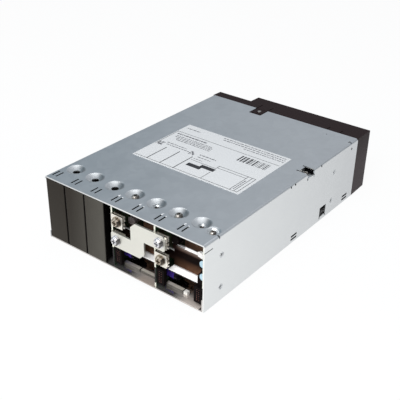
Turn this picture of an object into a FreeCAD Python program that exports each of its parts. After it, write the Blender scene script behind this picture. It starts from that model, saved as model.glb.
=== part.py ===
import FreeCAD, Part
import os
import re
import Sketcher

# Switching power supply: a folded steel case with seven module slots, two output modules, three
# blank panels, a moulded rear cover with two fans and a mains inlet. Millimetres; X to the right,
# Y to the rear, Z up; the origin is the centre of the underside of the steel case.

SIZES = {
    # folded steel case
    "case_width": 178.0,
    "case_depth": 246.5,
    "case_height": 63.5,
    "sheet_thick": 1.2,
    "bend_radius": 2.0,
    "base_thick": 1.2,
    "fit_gap": 0.15,
    "slot_spare": 9.7,
    "flange_height": 12.0,
    "flange_long": 70.0,
    "flange_gap": 1.0,
    # pressed screw seats
    "seat_back": 25.7,
    "seat_rim": 7.9,
    "seat_floor": 3.9,
    "seat_deep": 2.8,
    "seat_hole": 3.3,
    "seat_soft": 1.0,
    "seat_head": 3.2,
    "seat_head_tall": 2.0,
    "trim_seat_deep": 2.2,
    "trim_seat_floor": 3.8,
    "trim_seat_rim": 5.0,
    "trim_seat_lip": 6.6,
    "trim_seat_soft": 0.5,
    # lanced guides
    "guide_back": 5.4,
    "guide_long": 9.0,
    "guide_wide": 1.5,
    "guide_side": 2.2,
    "guide_step": 4.5,
    "guide_drop": 2.5,
    "lance_first": 130.0,
    "lance_rear": 20.5,
    "lance_long": 10.0,
    "lance_wide": 1.5,
    "lance_reach": 1.6,
    # tabs and windows
    "tab_before": 21.3,
    "tab_long": 11.5,
    "tab_top": 14.3,
    "tab_foot": 4.0,
    "tab_reach": 9.0,
    "relief_wide": 1.5,
    "relief_deep": 2.0,
    "edge_back": 150.5,
    "edge_long": 12.5,
    "edge_wide": 9.5,
    "edge_drop": 5.0,
    "edge_reach": 7.8,
    "edge_screw_in": 5.2,
    "edge_screw_back": 7.5,
    "catch_side": 57.5,
    "catch_wide": 14.5,
    "catch_deep": 14.5,
    "pip_radius": 1.0,
    "pip_drop": 1.8,
    "pip_before": 27.5,
    "pip_step": 7.0,
    "pip_after": 25.1,
    "dot_side": 148.3,
    "dot_rear": 10.2,
    "dot_radius": 0.7,
    "key_rear": 13.5,
    "key_long": 3.0,
    "key_wide": 1.4,
    "key_in": 2.6,
    "key_drop": 5.6,
    "split_long": 10.4,
    "split_drop": 6.4,
    "split_wide": 0.8,
    "nick_back": 18.0,
    "nick_long": 1.5,
    "nick_deep": 2.5,
    # side and base fixings
    "mount_back": 22.3,
    "mount_far": 202.3,
    "mount_low": 13.7,
    "mount_rise": 31.0,
    "base_mount_back": 35.0,
    "base_mount_far": 210.0,
    "base_mount_in": 23.0,
    "nut_bore": 1.65,
    "nut_shank": 2.65,
    "nut_flange": 3.8,
    "nut_deep": 2.4,
    "nut_play": 0.05,
    # blank panels
    "panel_gap": 1.1,
    "panel_near": 0.1,
    "panel_thick": 1.6,
    "panel_soft": 0.7,
    "panel_corner": 0.9,
    "panel_return": 12.0,
    "rail_gap": 0.1,
    "rail_back": 1.3,
    "rail_deep": 2.5,
    "rail_foot": 5.0,
    # module boards
    "board_side": 5.5,
    "board_thick": 1.6,
    "board_back": 2.0,
    "board_gap": 1.5,
    "board_ear": 13.5,
    "board_ear_rise": 2.6,
    "board_tongue": 6.0,
    "tongue_low": 13.0,
    "tongue_rise": 34.0,
    # module terminals
    "terminal_side": 13.7,
    "terminal_drop": 13.1,
    "terminal_rise": 17.4,
    "terminal_half": 6.0,
    "terminal_back": 0.3,
    "terminal_thick": 1.2,
    "terminal_leg": 11.5,
    "leaf_gap": 1.6,
    "leaf_thick": 0.8,
    "leaf_notch": 1.5,
    "leaf_tooth": 1.3,
    "terminal_nut": 3.0,
    "terminal_nut_deep": 4.6,
    "screw_shank": 1.95,
    "screw_play": 0.05,
    "screw_head": 4.1,
    "screw_head_tall": 2.6,
    "washer_radius": 4.8,
    "washer_thick": 0.7,
    "screw_long": 8.0,
    # link between the modules
    "link_thick": 1.6,
    "link_arm": 7.0,
    "link_neck": 7.2,
    "link_slant": 4.8,
    "link_end": 5.8,
    "link_corner": 2.6,
    # module heat sinks
    "sink_side": 17.3,
    "sink_over": 3.7,
    "sink_foot": 20.0,
    "sink_drop": 15.6,
    "sink_back": 6.1,
    "sink_ledge": 9.3,
    "sink_brow": 3.6,
    "sink_lip": 3.6,
    "sink_thick": 2.0,
    "sink_tie": 8.0,
    "sink_tab_in": 7.2,
    "sink_tab_wide": 3.8,
    "sink_tab_rise": 3.8,
    # other module pieces
    "bracket_thick": 1.2,
    "bracket_back": 18.0,
    "bracket_long": 15.0,
    "bracket_over": 6.2,
    "bracket_tall": 10.0,
    "can_radius": 3.8,
    "can_long": 12.6,
    "can_back": 16.8,
    "can_step": 9.0,
    "can_height": 9.0,
    "core_side": 12.2,
    "core_wide": 17.8,
    "core_gap": 1.0,
    "core_back": 8.7,
    "core_long": 3.3,
    "core_tall": 2.8,
    "core_over": 1.6,
    "core_short": 3.8,
    "filter_radius": 3.8,
    "filter_side": 18.9,
    "filter_back": 12.4,
    "filter_long": 11.0,
    "header_wide": 7.8,
    "header_back": 2.6,
    "header_long": 3.6,
    "header_foot": 4.8,
    "header_tall": 15.2,
    "pin_half": 0.32,
    "pin_pitch": 2.0,
    "trafo_back": 40.0,
    "trafo_long": 32.0,
    "trafo_foot": 14.0,
    "trafo_drop": 11.1,
    "trafo_far": 9.2,
    "trafo_core": 6.0,
    "bobbin_thick": 2.6,
    # signal corner
    "signal_back": 3.5,
    "signal_long": 14.0,
    "signal_gap": 3.1,
    "signal_thick": 1.6,
    "signal_foot": 2.5,
    "signal_drop": 2.8,
    "disc_radius": 3.3,
    "disc_thick": 3.2,
    "disc_back": 8.0,
    "disc_low": 27.0,
    "disc_rise": 12.2,
    "angle_wide": 7.0,
    "angle_leg": 10.0,
    "angle_thick": 1.5,
    "trim_screw_in": 8.6,
    "trim_screw_back": 21.5,
    "trim_shank": 1.45,
    "trim_head": 2.8,
    "trim_head_tall": 1.9,
    # front-end boards
    "main_back": 100.0,
    "main_rear": 3.5,
    "main_foot": 4.5,
    "main_thick": 1.6,
    "main_gap": 0.4,
    "plane_set": 5.0,
    "plane_thick": 1.6,
    "plane_in": 2.3,
    "plane_drop": 6.2,
    "bay_wide": 7.8,
    "bay_deep": 10.0,
    "bay_foot": 12.0,
    "bay_tall": 36.0,
    "bay_play": 0.1,
    "stand_radius": 3.0,
    "stand_in": 11.0,
    "stand_set": 10.5,
    "stand_rear": 14.0,
    "film_in": 29.0,
    "film_thick": 0.4,
    # front-end components
    "bulk_radius": 14.5,
    "bulk_drop": 10.2,
    "bulk_in": 20.5,
    "bulk_set": 27.0,
    "bulk_step": 31.0,
    "fin_side": 26.0,
    "fin_set": 22.0,
    "fin_long": 92.0,
    "fin_drop": 8.2,
    "fin_plate": 3.0,
    "fin_reach": 15.0,
    "fin_thick": 1.6,
    "fin_step": 9.0,
    "pack_wide": 16.0,
    "pack_tall": 21.0,
    "pack_thick": 5.0,
    "pack_step": 21.0,
    "ring_radius": 21.0,
    "ring_bore": 9.0,
    "ring_tall": 20.0,
    "ring_side": -10.0,
    "ring_set": 43.0,
    "coil_radius": 14.0,
    "coil_bore": 6.5,
    "coil_tall": 14.0,
    "coil_side": -22.0,
    "coil_rear": 34.0,
    "film_cap_wide": 26.0,
    "film_cap_deep": 12.0,
    "film_cap_tall": 21.0,
    "film_cap_in": 11.0,
    "film_cap_set": 70.0,
    "film_cap_step": 16.0,
    "relay_wide": 20.0,
    "relay_deep": 15.0,
    "relay_tall": 16.0,
    "relay_in": 11.0,
    "relay_set": 46.0,
    "fuse_radius": 2.6,
    "fuse_long": 20.0,
    "fuse_side": -44.0,
    "fuse_rear": 10.5,
    "fuse_height": 4.2,
    "standby_wide": 22.0,
    "standby_deep": 20.0,
    "standby_tall": 22.0,
    "standby_in": 11.0,
    "standby_set": 16.0,
    # moulded rear cover
    "cover_deep": 28.0,
    "cover_shallow": 13.5,
    "fan_room": 16.5,
    "cover_wall": 1.55,
    "cover_face": 2.8,
    "cover_ledge": 2.2,
    "cover_taper": 1.0,
    "cover_soft": 1.5,
    "snap_wide": 12.5,
    "snap_reach": 12.0,
    "snap_root": 11.0,
    "snap_slot": 1.0,
    "hook_side": 143.0,
    "hook_wide": 13.5,
    "hook_reach": 10.0,
    "hook_clear": 1.2,
    "hook_slit": 7.5,
    "hook_thick": 1.8,
    # fans
    "fan_play": 0.2,
    "fan_deep": 20.0,
    "fan_rim": 1.5,
    "fan_corner": 2.5,
    "fan_between": 6.0,
    "fan_hole": 2.15,
    "fan_hole_in": 5.0,
    "fan_disc": 13.0,
    "fan_disc_deep": 2.5,
    "fan_strut": 3.0,
    "tube_radius": 4.0,
    "tube_long": 11.0,
    "shaft_radius": 1.5,
    "shaft_play": 0.05,
    "rotor_radius": 14.5,
    "rotor_wall": 1.5,
    "rotor_gap": 0.6,
    "blade_gap": 0.9,
    "blade_thick": 1.5,
    "blade_root_half": 5.0,
    "blade_root_rise": 6.2,
    "blade_tip_half": 8.0,
    "blade_tip_rise": 4.6,
    "grille_first": 14.0,
    "grille_rib": 1.5,
    "grille_spoke": 2.2,
    # mains inlet
    "inlet_half": 10.0,
    "inlet_tall_half": 13.6,
    "inlet_wall": 1.7,
    "inlet_slant": 5.0,
    "inlet_deep": 19.0,
    "inlet_floor": 2.0,
    "inlet_flange_half": 11.25,
    "inlet_flange_tall": 25.0,
    "inlet_flange_thick": 2.5,
    "inlet_play": 0.1,
    "inlet_screw_half": 20.0,
    "prong_half": 1.0,
    "prong_tall": 2.0,
    "prong_spread": 7.0,
    "prong_offset": 2.0,
    "prong_recess": 4.5,
    "prong_tail": 7.0,
    # label
    "label_wide": 121.0,
    "label_long": 85.5,
    "label_side": 30.0,
    "label_back": 81.0,
    "label_thick": 0.15,
}

SLOTS = 7
BLANKS = (0, 1, 2)
MODULES = {"a": 3, "b": 5}
BLADES = 7
HEADER_ROWS = 6
FIN_COUNT = 5

LEFT = "-case_width / 2"
RIGHT = "case_width / 2"
FRONT = "-case_depth / 2"
REAR = "case_depth / 2"
TOP = "case_height"
ROOF = "case_height - sheet_thick"
WALL = "case_width / 2 - sheet_thick"
FLOOR = "base_thick"
DECK = "main_foot + main_thick"
SEAT = "case_height - seat_deep - sheet_thick"
PITCH = "((case_width - 2 * sheet_thick - slot_spare) / 7)"
PLANE = "(main_back + plane_set)"
BOARD_LONG = f"({PLANE} - bay_deep - board_gap - board_back)"
MAIN_LONG = "(case_depth - main_back - main_rear)"
FAN = "(case_height - 2 * cover_wall - 2 * fan_play)"
FAN_BORE = f"({FAN} / 2 - fan_rim)"
FAN_HOLE = f"({FAN} / 2 - fan_hole_in)"
RING = f"(({FAN_BORE} - grille_first) / 3)"
HOOK_ROOT = "(cover_deep - cover_face - fan_deep - hook_clear)"
COVER_STEP = f"(case_width - 2 * {FAN} - fan_room)"
TRIM = ("case_width / 2 - trim_screw_in", "-case_depth / 2 + trim_screw_back")
TRIM_SEAT = "(case_height - trim_seat_deep)"
EDGE = ("case_width / 2 - sheet_thick - edge_screw_in", "-case_depth / 2 + edge_back + edge_screw_back")
CROWN = "(case_height - seat_deep - sheet_thick - bracket_thick - sink_drop)"
MIDDLE = "case_height / 2"
UPPER = "(case_height - sheet_thick - terminal_drop)"
LOWER = "(case_height - sheet_thick - terminal_drop - terminal_rise)"

doc = FreeCAD.newDocument("power_supply")
sheet = doc.addObject("Spreadsheet::Sheet", "Dims")
for row, (alias, size) in enumerate(SIZES.items(), start=1):
    sheet.set(f"A{row}", alias)
    sheet.set(f"B{row}", str(size))
    sheet.setAlias(f"B{row}", alias)
doc.recompute()

NODES = []
TURNS = {
    "x": FreeCAD.Rotation(FreeCAD.Vector(0, 1, 0), 90),
    "y": FreeCAD.Rotation(FreeCAD.Vector(1, 0, 0), -90),
    "z": FreeCAD.Rotation(),
}


def cells(expression):
    """Points every size name of an expression at its cell in the sheet."""
    def cell(word):
        return f"Dims.{word.group(0)}" if word.group(0) in SIZES else word.group(0)
    return re.sub(r"[a-z_]+", cell, str(expression))


def bind(item, path, expression):
    item.setExpression(path, cells(expression))


def place(item, axis, centre, start):
    """Turns a round solid to an axis and binds its centre line and its start."""
    item.Placement = FreeCAD.Placement(FreeCAD.Vector(), TURNS[axis])
    across = [name for name in "xyz" if name != axis]
    for name, position in zip(across, centre):
        bind(item, f"Placement.Base.{name}", position)
    bind(item, f"Placement.Base.{axis}", start)


def block(x, y, z):
    """A box between two limits on each axis."""
    solid = doc.addObject("Part::Box", "Block")
    for axis, side, (low, high) in zip("xyz", ("Length", "Width", "Height"), (x, y, z)):
        bind(solid, side, f"({high}) - ({low})")
        bind(solid, f"Placement.Base.{axis}", low)
    return solid


def rod(axis, centre, radius, span):
    """A cylinder along an axis between two limits."""
    solid = doc.addObject("Part::Cylinder", "Rod")
    bind(solid, "Radius", radius)
    bind(solid, "Height", f"({span[1]}) - ({span[0]})")
    place(solid, axis, centre, span[0])
    return solid


def cone(axis, centre, radii, span):
    """A frustum along an axis, its radii in the order of the limits."""
    solid = doc.addObject("Part::Cone", "Cone")
    bind(solid, "Radius1", radii[0])
    bind(solid, "Radius2", radii[1])
    bind(solid, "Height", f"({span[1]}) - ({span[0]})")
    place(solid, axis, centre, span[0])
    return solid


def join(items):
    fused = doc.addObject("Part::MultiFuse", "Join")
    fused.Shapes = items
    fused.Refine = True
    return fused


def cut(base, tools):
    result = doc.addObject("Part::Cut", "Cut")
    result.Base = base
    result.Tool = tools[0] if len(tools) == 1 else join(tools)
    return result


def group(items):
    """Several loose solids that share one file."""
    loose = doc.addObject("Part::Compound", "Group")
    loose.Links = items
    return loose


def tube(axis, centre, radius, bore, span):
    return cut(rod(axis, centre, radius, span), [rod(axis, centre, bore, span)])


def node(item, label):
    item.Label = label
    NODES.append(item)
    return item


def origin_part(body, role):
    return next(item for item in body.Origin.OriginFeatures if item.Role == role)


def outline(body, plane, corners, offset="0"):
    """A closed sketch on an origin plane with every corner bound to the sheet."""
    sketch = body.newObject("Sketcher::SketchObject", "Outline")
    sketch.AttachmentSupport = (origin_part(body, plane), [""])
    sketch.MapMode = "FlatFace"
    count = len(corners)
    starts = circle_points(count)
    for i in range(count):
        sketch.addGeometry(Part.LineSegment(starts[i], starts[(i + 1) % count]), False)
    rules = [Sketcher.Constraint("Coincident", i, 2, (i + 1) % count, 1) for i in range(count)]
    for i, point in enumerate(starts):
        rules.append(Sketcher.Constraint("DistanceX", i, 1, point.x))
        rules.append(Sketcher.Constraint("DistanceY", i, 1, point.y))
    sketch.addConstraint(rules)
    for i, corner in enumerate(corners):
        for k, letter in enumerate("xy"):
            index = count + 2 * i + k
            sketch.renameConstraint(index, f"{letter}{i}")
            bind(sketch, f"Constraints.{letter}{i}", corner[k])
    bind(sketch, "AttachmentOffset.Base.z", offset)
    return sketch


def circle_points(count):
    """Starting corners of a sketch, before the sheet sets their places."""
    first = FreeCAD.Vector(10, 0, 0)
    turns = [FreeCAD.Rotation(FreeCAD.Vector(0, 0, 1), 360.0 * i / count) for i in range(count)]
    return [turn.multVec(first) for turn in turns]


PLANES = {"z": ("XY_Plane", 1), "y": ("XZ_Plane", -1), "x": ("YZ_Plane", 1)}


def profile(axis, corners, span, taper=None):
    """A body padded from an outline, along an axis between two limits."""
    body = doc.addObject("PartDesign::Body", "Body")
    plane, sense = PLANES[axis]
    start = f"-({span[0]})" if sense < 0 else span[0]
    pad = body.newObject("PartDesign::Pad", "Pad")
    pad.Profile = outline(body, plane, corners, start)
    pad.Reversed = sense < 0
    bind(pad, "Length", f"({span[1]}) - ({span[0]})")
    if taper:
        bind(pad, "TaperAngle", taper)
    body.Tip = pad
    return body


def soften(body, radius, chosen):
    """Rounds the edges of a body that a test picks by their middle point and direction."""
    doc.recompute()
    base = body.Tip
    names = []
    for index, edge in enumerate(base.Shape.Edges, start=1):
        middle = edge.valueAt((edge.FirstParameter + edge.LastParameter) / 2)
        if chosen(middle, edge):
            names.append(f"Edge{index}")
    fillet = body.newObject("PartDesign::Fillet", "Fillet")
    fillet.Base = (base, names)
    bind(fillet, "Radius", radius)
    body.Tip = fillet
    return body


def slot_left(slot):
    return f"(-case_width / 2 + sheet_thick + {PITCH} * {slot})"


def rectangle(x, y):
    return [(x[0], y[0]), (x[1], y[0]), (x[1], y[1]), (x[0], y[1])]


def along(distance, long):
    """Limits on Y of something a distance behind the front edge."""
    return (f"{FRONT} + {distance}", f"{FRONT} + {distance} + {long}")


def reach(sign, near, far):
    """Limits on X, ordered, of something on the right or the left side."""
    return (near, far) if sign > 0 else (f"-({far})", f"-({near})")


# folded case shell
def build_shell():
    folded = profile("y", [(LEFT, "0"), (f"{LEFT} + sheet_thick", "0"), (f"{LEFT} + sheet_thick", ROOF),
                           (WALL, ROOF), (WALL, "0"), (RIGHT, "0"), (RIGHT, TOP), (LEFT, TOP)], (FRONT, REAR))
    high = SIZES["case_height"]
    thick = SIZES["sheet_thick"]
    half = SIZES["case_width"] / 2

    def is_fold(point, inset):
        return abs(abs(point.x) - half + inset) < 0.01 and abs(point.z - high + inset) < 0.01

    for inset, radius in ((0, "bend_radius"), (thick, "bend_radius - sheet_thick")):
        soften(folded, radius, lambda point, edge: is_fold(point, inset) and edge.Length > half)
    added = [folded]
    removed = []
    for slot in range(SLOTS):
        centre = (f"{slot_left(slot)} + {PITCH} / 2", f"{FRONT} + seat_back")
        added.append(cone("z", centre, ("seat_floor + sheet_thick * 0.5", "seat_rim + sheet_thick * 0.5"),
                          (SEAT, f"{ROOF} + sheet_thick * 0.2")))
        removed.append(cone("z", centre, ("seat_floor", "seat_rim"), (f"{TOP} - seat_deep", TOP)))
        removed.append(rod("z", centre, "seat_hole", (f"{SEAT} - 1", f"{TOP} - seat_deep")))
        for side, lean in ((0, -1), (1, 1)):
            near = f"{slot_left(slot)} + guide_side + guide_step * {side}"
            removed.append(block((near, f"{near} + guide_wide"), along("guide_back", "guide_long"),
                                 (f"{ROOF} - guide_drop", f"{TOP} + 1")))
            edge = near if lean < 0 else f"{near} + guide_wide + sheet_thick * 0.8"
            added.append(block((f"{edge} - sheet_thick * 0.8", edge), along("guide_back", "guide_long"),
                               (f"{ROOF} - guide_drop", f"{ROOF} + sheet_thick * 0.5")))
    for sign in (1, -1):
        wall = reach(sign, f"{WALL} - 1", f"{RIGHT} + 1")
        for level in ("mount_low", "mount_low + mount_rise"):
            for back in ("mount_back", "mount_far"):
                removed.append(rod("x", (f"{FRONT} + {back}", level), "nut_shank + nut_play", wall))
        for back in ("lance_first", "case_depth - lance_rear"):
            lances = ((f"{DECK} + main_gap * 0.25", 1), ("main_foot - main_gap * 0.25", -1))
            for edge, turn in lances:
                far = f"{edge} + {turn} * lance_wide"
                root = f"{far} + {turn} * sheet_thick * 0.6"
                gap, lip = ((edge, far), (edge, root)) if turn > 0 else ((far, edge), (root, edge))
                removed.append(block(reach(sign, f"{WALL} + sheet_thick * 0.3", f"{RIGHT} + 1"),
                                     along(back, "lance_long"), gap))
                added.append(block(reach(sign, f"{WALL} - lance_reach", f"{WALL} + sheet_thick * 0.5"),
                                   along(back, "lance_long"), lip))
        removed.append(block(wall, along("mount_far - tab_before", "tab_long"), ("tab_foot", "tab_top")))
        for back in ("mount_far - tab_before", "mount_far - tab_before + tab_long - relief_wide"):
            removed.append(block(wall, along(back, "relief_wide"), ("tab_foot - relief_deep", "tab_foot")))
        tab = along("mount_far - tab_before + relief_wide", "tab_long - 2 * relief_wide")
        added.append(block(reach(sign, f"{WALL} - tab_reach", f"{WALL} + sheet_thick * 0.5"), tab,
                           (FLOOR, f"{FLOOR} + sheet_thick")))
        removed.append(rod("z", (f"{sign} * ({WALL} - tab_reach * 0.55)",
                                 f"{FRONT} + mount_far - tab_before + tab_long / 2"),
                           "trim_shank + screw_play", (f"{FLOOR} - 0.5", f"{FLOOR} + sheet_thick + 1")))
    edge = along("edge_back", "edge_long")
    ends = (along("edge_back", "relief_wide"), along("edge_back + edge_long - relief_wide", "relief_wide"))
    removed.append(block((f"{RIGHT} - edge_wide", f"{RIGHT} + 1"), edge,
                         (f"{TOP} - edge_drop", f"{TOP} + 1")))
    for end in ends:
        removed.append(block((f"{RIGHT} - edge_wide - relief_deep * 1.5", f"{RIGHT} - edge_wide"), end,
                             (f"{ROOF} - 1", f"{TOP} + 1")))
        removed.append(block((f"{WALL} - 1", f"{RIGHT} + 1"), end,
                             (f"{TOP} - edge_drop - relief_deep", f"{TOP} - edge_drop")))
    inner = along("edge_back + relief_wide + fit_gap", "edge_long - 2 * relief_wide - 2 * fit_gap")
    added.append(block((f"{RIGHT} - edge_wide - sheet_thick", f"{RIGHT} - edge_wide"), inner,
                       (f"{ROOF} - edge_drop * 0.5", f"{ROOF} + sheet_thick * 0.5")))
    added.append(block((f"{WALL} - edge_reach", f"{WALL} + sheet_thick * 0.5"), inner,
                       (f"{TOP} - edge_drop - sheet_thick", f"{TOP} - edge_drop")))
    removed.append(rod("z", EDGE, "trim_shank + screw_play",
                       (f"{TOP} - edge_drop - sheet_thick - 1", f"{TOP} - edge_drop + 1")))
    skin = (f"{WALL} - 0.6", f"{RIGHT} + 1")
    for back in ("edge_back - pip_before", "edge_back - pip_before + pip_step", "edge_back + pip_after"):
        removed.append(rod("x", (f"{FRONT} + {back}", f"{TOP} - pip_drop"), "pip_radius", skin))
    removed.append(rod("z", (f"{LEFT} + dot_side", f"{REAR} - dot_rear"), "dot_radius",
                       (f"{ROOF} - 1", f"{TOP} + 1")))
    key = (f"{REAR} - key_rear", f"{REAR} - key_rear + key_long")
    removed.append(block((f"{RIGHT} - key_in - key_wide", f"{RIGHT} - key_in"), key,
                         (f"{ROOF} - 1", f"{TOP} + 1")))
    removed.append(block(skin, key, (f"{TOP} - key_drop - key_wide", f"{TOP} - key_drop")))
    removed.append(block(skin, along("-1", "split_long + 1"),
                         (f"{TOP} - split_drop - split_wide", f"{TOP} - split_drop")))
    removed.append(block((f"{RIGHT} - nick_deep", f"{RIGHT} + 1"), along("nick_back", "nick_long"),
                         (f"{TOP} - nick_deep", f"{TOP} + 1")))
    removed.append(block((f"{LEFT} + catch_side", f"{LEFT} + catch_side + catch_wide"),
                         (f"{REAR} - catch_deep", f"{REAR} + 1"), (f"{ROOF} - 1", f"{TOP} + 1")))
    removed.append(block((f"{LEFT} - 1", f"{LEFT} + sheet_thick + 0.5"),
                         along("-1", "rail_back + rail_deep + 1.3"),
                         (f"{FLOOR} + rail_foot - fit_gap", f"{ROOF} - 1.3")))
    added.append(cone("z", TRIM, ("trim_seat_floor + sheet_thick * 0.5", "trim_seat_rim + sheet_thick * 0.5"),
                      (f"{TRIM_SEAT} - sheet_thick", f"{ROOF} + sheet_thick * 0.2")))
    removed.append(rod("z", TRIM, "trim_shank + screw_play",
                       (f"{TRIM_SEAT} - sheet_thick - 1", f"{TOP} + 1")))
    pressed = cut(join(added), removed)
    doc.recompute()
    rims = []
    for index, rim in enumerate(pressed.Shape.Edges, start=1):
        if isinstance(rim.Curve, Part.Circle) and abs(rim.Curve.Radius - SIZES["seat_rim"]) < 0.001:
            if abs(rim.Curve.Center.z - high) < 0.001:
                rims.append((index, SIZES["seat_soft"], SIZES["seat_soft"]))
    soft = doc.addObject("Part::Fillet", "SoftSeats")
    soft.Base = pressed
    soft.Edges = rims
    bend = f"{TOP} - trim_seat_soft"
    return cut(soft, [cone("z", TRIM, ("trim_seat_floor", "trim_seat_rim"), (TRIM_SEAT, bend)),
                      cone("z", TRIM, ("trim_seat_rim", "trim_seat_lip"), (bend, TOP))])


node(build_shell(), "case_shell")


# base plate with two front flanges
def build_base():
    side = "case_width / 2 - sheet_thick - fit_gap"
    added = [block((f"-({side})", side), (f"{FRONT} + 0.3", REAR), ("0", FLOOR))]
    removed = []
    starts = {1: "0.3", -1: "panel_thick + panel_return + flange_gap"}
    for sign in (1, -1):
        added.append(block(reach(sign, f"{side} - base_thick", side), along(starts[sign], "flange_long"),
                           ("0", "flange_height")))
        removed.append(block(reach(sign, f"{side} - base_thick - 1", f"{side} + 1"),
                             along("mount_back - nut_flange - 0.5", "2 * nut_flange + 1"),
                             ("mount_low - nut_flange - 0.5", "flange_height + 1")))
        for back in ("base_mount_back", "base_mount_far"):
            removed.append(rod("z", (f"{sign} * ({RIGHT} - base_mount_in)", f"{FRONT} + {back}"),
                               "nut_shank + nut_play",
                               ("-1", f"{FLOOR} + 1")))
        screw = (f"{sign} * ({WALL} - tab_reach * 0.55)", f"{FRONT} + mount_far - tab_before + tab_long / 2")
        removed.append(cone("z", screw, ("trim_head + screw_play", "trim_shank + screw_play"), ("0", FLOOR)))
    return cut(join(added), removed)


node(build_base(), "base_tray")


# pressed-in nuts for side and base mounting
def clinch_nut(axis, centre, outside, sign):
    face = f"{outside} - {sign} * sheet_thick"
    spans = ((outside, face), (face, f"{face} - {sign} * nut_deep"))
    if sign > 0:
        spans = tuple((low, high) for high, low in spans)
    shank = rod(axis, centre, "nut_shank", spans[0])
    flange = rod(axis, centre, "nut_flange", spans[1])
    through = (spans[1][0], spans[0][1]) if sign > 0 else (spans[0][0], spans[1][1])
    return cut(join([shank, flange]), [rod(axis, centre, "nut_bore", through)])


nuts = []
for sign in (1, -1):
    for back in ("mount_back", "mount_far"):
        for level in ("mount_low", "mount_low + mount_rise"):
            nuts.append(clinch_nut("x", (f"{FRONT} + {back}", level), f"{sign} * case_width / 2", sign))
    for back in ("base_mount_back", "base_mount_far"):
        nuts.append(clinch_nut("z", (f"{sign} * ({RIGHT} - base_mount_in)", f"{FRONT} + {back}"), "0", -1))
node(group(nuts), "clinch_nuts")


# blank panels for the empty slots
def build_panel(slot):
    near = f"{slot_left(slot)} + panel_near"
    far = f"{slot_left(slot)} + {PITCH} - panel_gap"
    head = f"{ROOF} - fit_gap"
    face = profile("y", [(near, FLOOR), (far, FLOOR), (far, f"{head} - panel_corner"),
                         (f"{far} - panel_corner", head),
                         (f"{near} + panel_corner", head), (near, f"{head} - panel_corner")],
                   along("0", "panel_thick"))
    front = -SIZES["case_depth"] / 2
    soften(face, "panel_soft", lambda point, edge: abs(point.y - front) < 0.01)
    upright = (f"{FLOOR} + rail_foot", f"{ROOF} - guide_drop - rail_gap * 4")
    before = f"{far} - {PITCH}"
    rail = block((f"{before} + rail_gap", f"{near} + 1.2"), along("rail_back", "rail_deep"),
                 (f"{FLOOR} + rail_foot", f"{ROOF} - 1.5"))
    sides = [block((f"{near} + 0.2", f"{near} + 1.6"), along("panel_thick - 0.2", "panel_return"), upright),
             block((f"{far} - 1.4", far), along("panel_thick - 0.2", "panel_return"), upright)]
    return join([face, rail] + sides)


for number, slot in enumerate(BLANKS, start=1):
    node(build_panel(slot), f"blank_panel_{number}")


# output modules
def build_module(letter, slot):
    base = slot_left(slot)
    near = f"{base} + board_side"
    face = f"{near} + board_thick"
    head = f"{SEAT} - 0.2"
    tongue = ("tongue_low", "tongue_low + tongue_rise")
    board = join([
        block((near, face), along("board_back", BOARD_LONG), (FLOOR, head)),
        block((near, face), along("board_back", "board_ear"), (f"{head} - 1", f"{head} + board_ear_rise")),
        block((near, face), along(f"board_back + {BOARD_LONG} - 1", "board_tongue + 1"), tongue),
    ])
    node(board, f"module_{letter}_board")
    for place_name, level in (("upper", UPPER), ("lower", LOWER)):
        node(build_terminal(base, face, level), f"module_{letter}_{place_name}_terminal")
    node(build_sink(base, face), f"module_{letter}_heatsink")
    node(build_bracket(base, face, slot), f"module_{letter}_bracket")
    cans = []
    for step in range(2):
        centre = (f"{FRONT} + can_back + can_step * {step}", "can_height")
        cans.append(rod("x", centre, "can_radius", (face, f"{face} + can_long")))
    node(group(cans), f"module_{letter}_capacitors")
    node(rod("y", (f"{base} + filter_side", f"{CROWN} + filter_radius"), "filter_radius",
             along("filter_back", "filter_long")), f"module_{letter}_filter_can")
    start = f"{base} + core_side"
    gap = f"{start} + core_wide"
    lower = (FLOOR, f"{FLOOR} + core_tall")
    ends = {"a": f"{base} + 2 * {PITCH} + core_over", "b": f"{gap} + core_gap + core_short"}
    core = [block(span, along("core_back", "core_long"), lower)
            for span in ((start, gap), (f"{gap} + core_gap", ends[letter]))]
    node(group(core), f"module_{letter}_choke")
    node(build_header(face, 1), f"module_{letter}_header")
    node(build_trafo(base, face), f"module_{letter}_transformer")


def build_terminal(base, face, level):
    """A front plate and a notched leaf behind it, both bent from one leg on the board."""
    far = f"{base} + terminal_side + terminal_half"
    front = f"{FRONT} + terminal_back"
    inner = f"{front} + terminal_thick"
    leaf = f"{inner} + leaf_gap"
    leg = f"{face} + terminal_thick"
    rear = f"{front} + terminal_leg"
    bent = profile("z", [(face, front), (far, front), (far, inner), (leg, inner), (leg, leaf), (far, leaf),
                         (far, f"{leaf} + leaf_thick"), (leg, f"{leaf} + leaf_thick"), (leg, rear),
                         (face, rear)],
                   (f"{level} - terminal_half", f"{level} + terminal_half"))
    centre = (f"{base} + terminal_side", level)
    nut = block((f"{centre[0]} - terminal_nut", f"{centre[0]} + terminal_nut"),
                (f"{front} + terminal_thick * 0.5", f"{front} + terminal_nut_deep"),
                (f"{level} - terminal_nut", f"{level} + terminal_nut"))
    removed = [rod("y", centre, "screw_shank + screw_play", (f"{front} - 1", f"{front} + screw_long + 1"))]
    for low in (f"{level} - leaf_notch / 2", f"{level} - terminal_half + leaf_notch"):
        removed.append(block((f"{far} - leaf_tooth", f"{far} + 1"),
                             (f"{leaf} - 0.2", f"{leaf} + leaf_thick + 0.2"),
                             (low, f"{low} + leaf_notch")))
    return cut(join([bent, nut]), removed)


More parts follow.
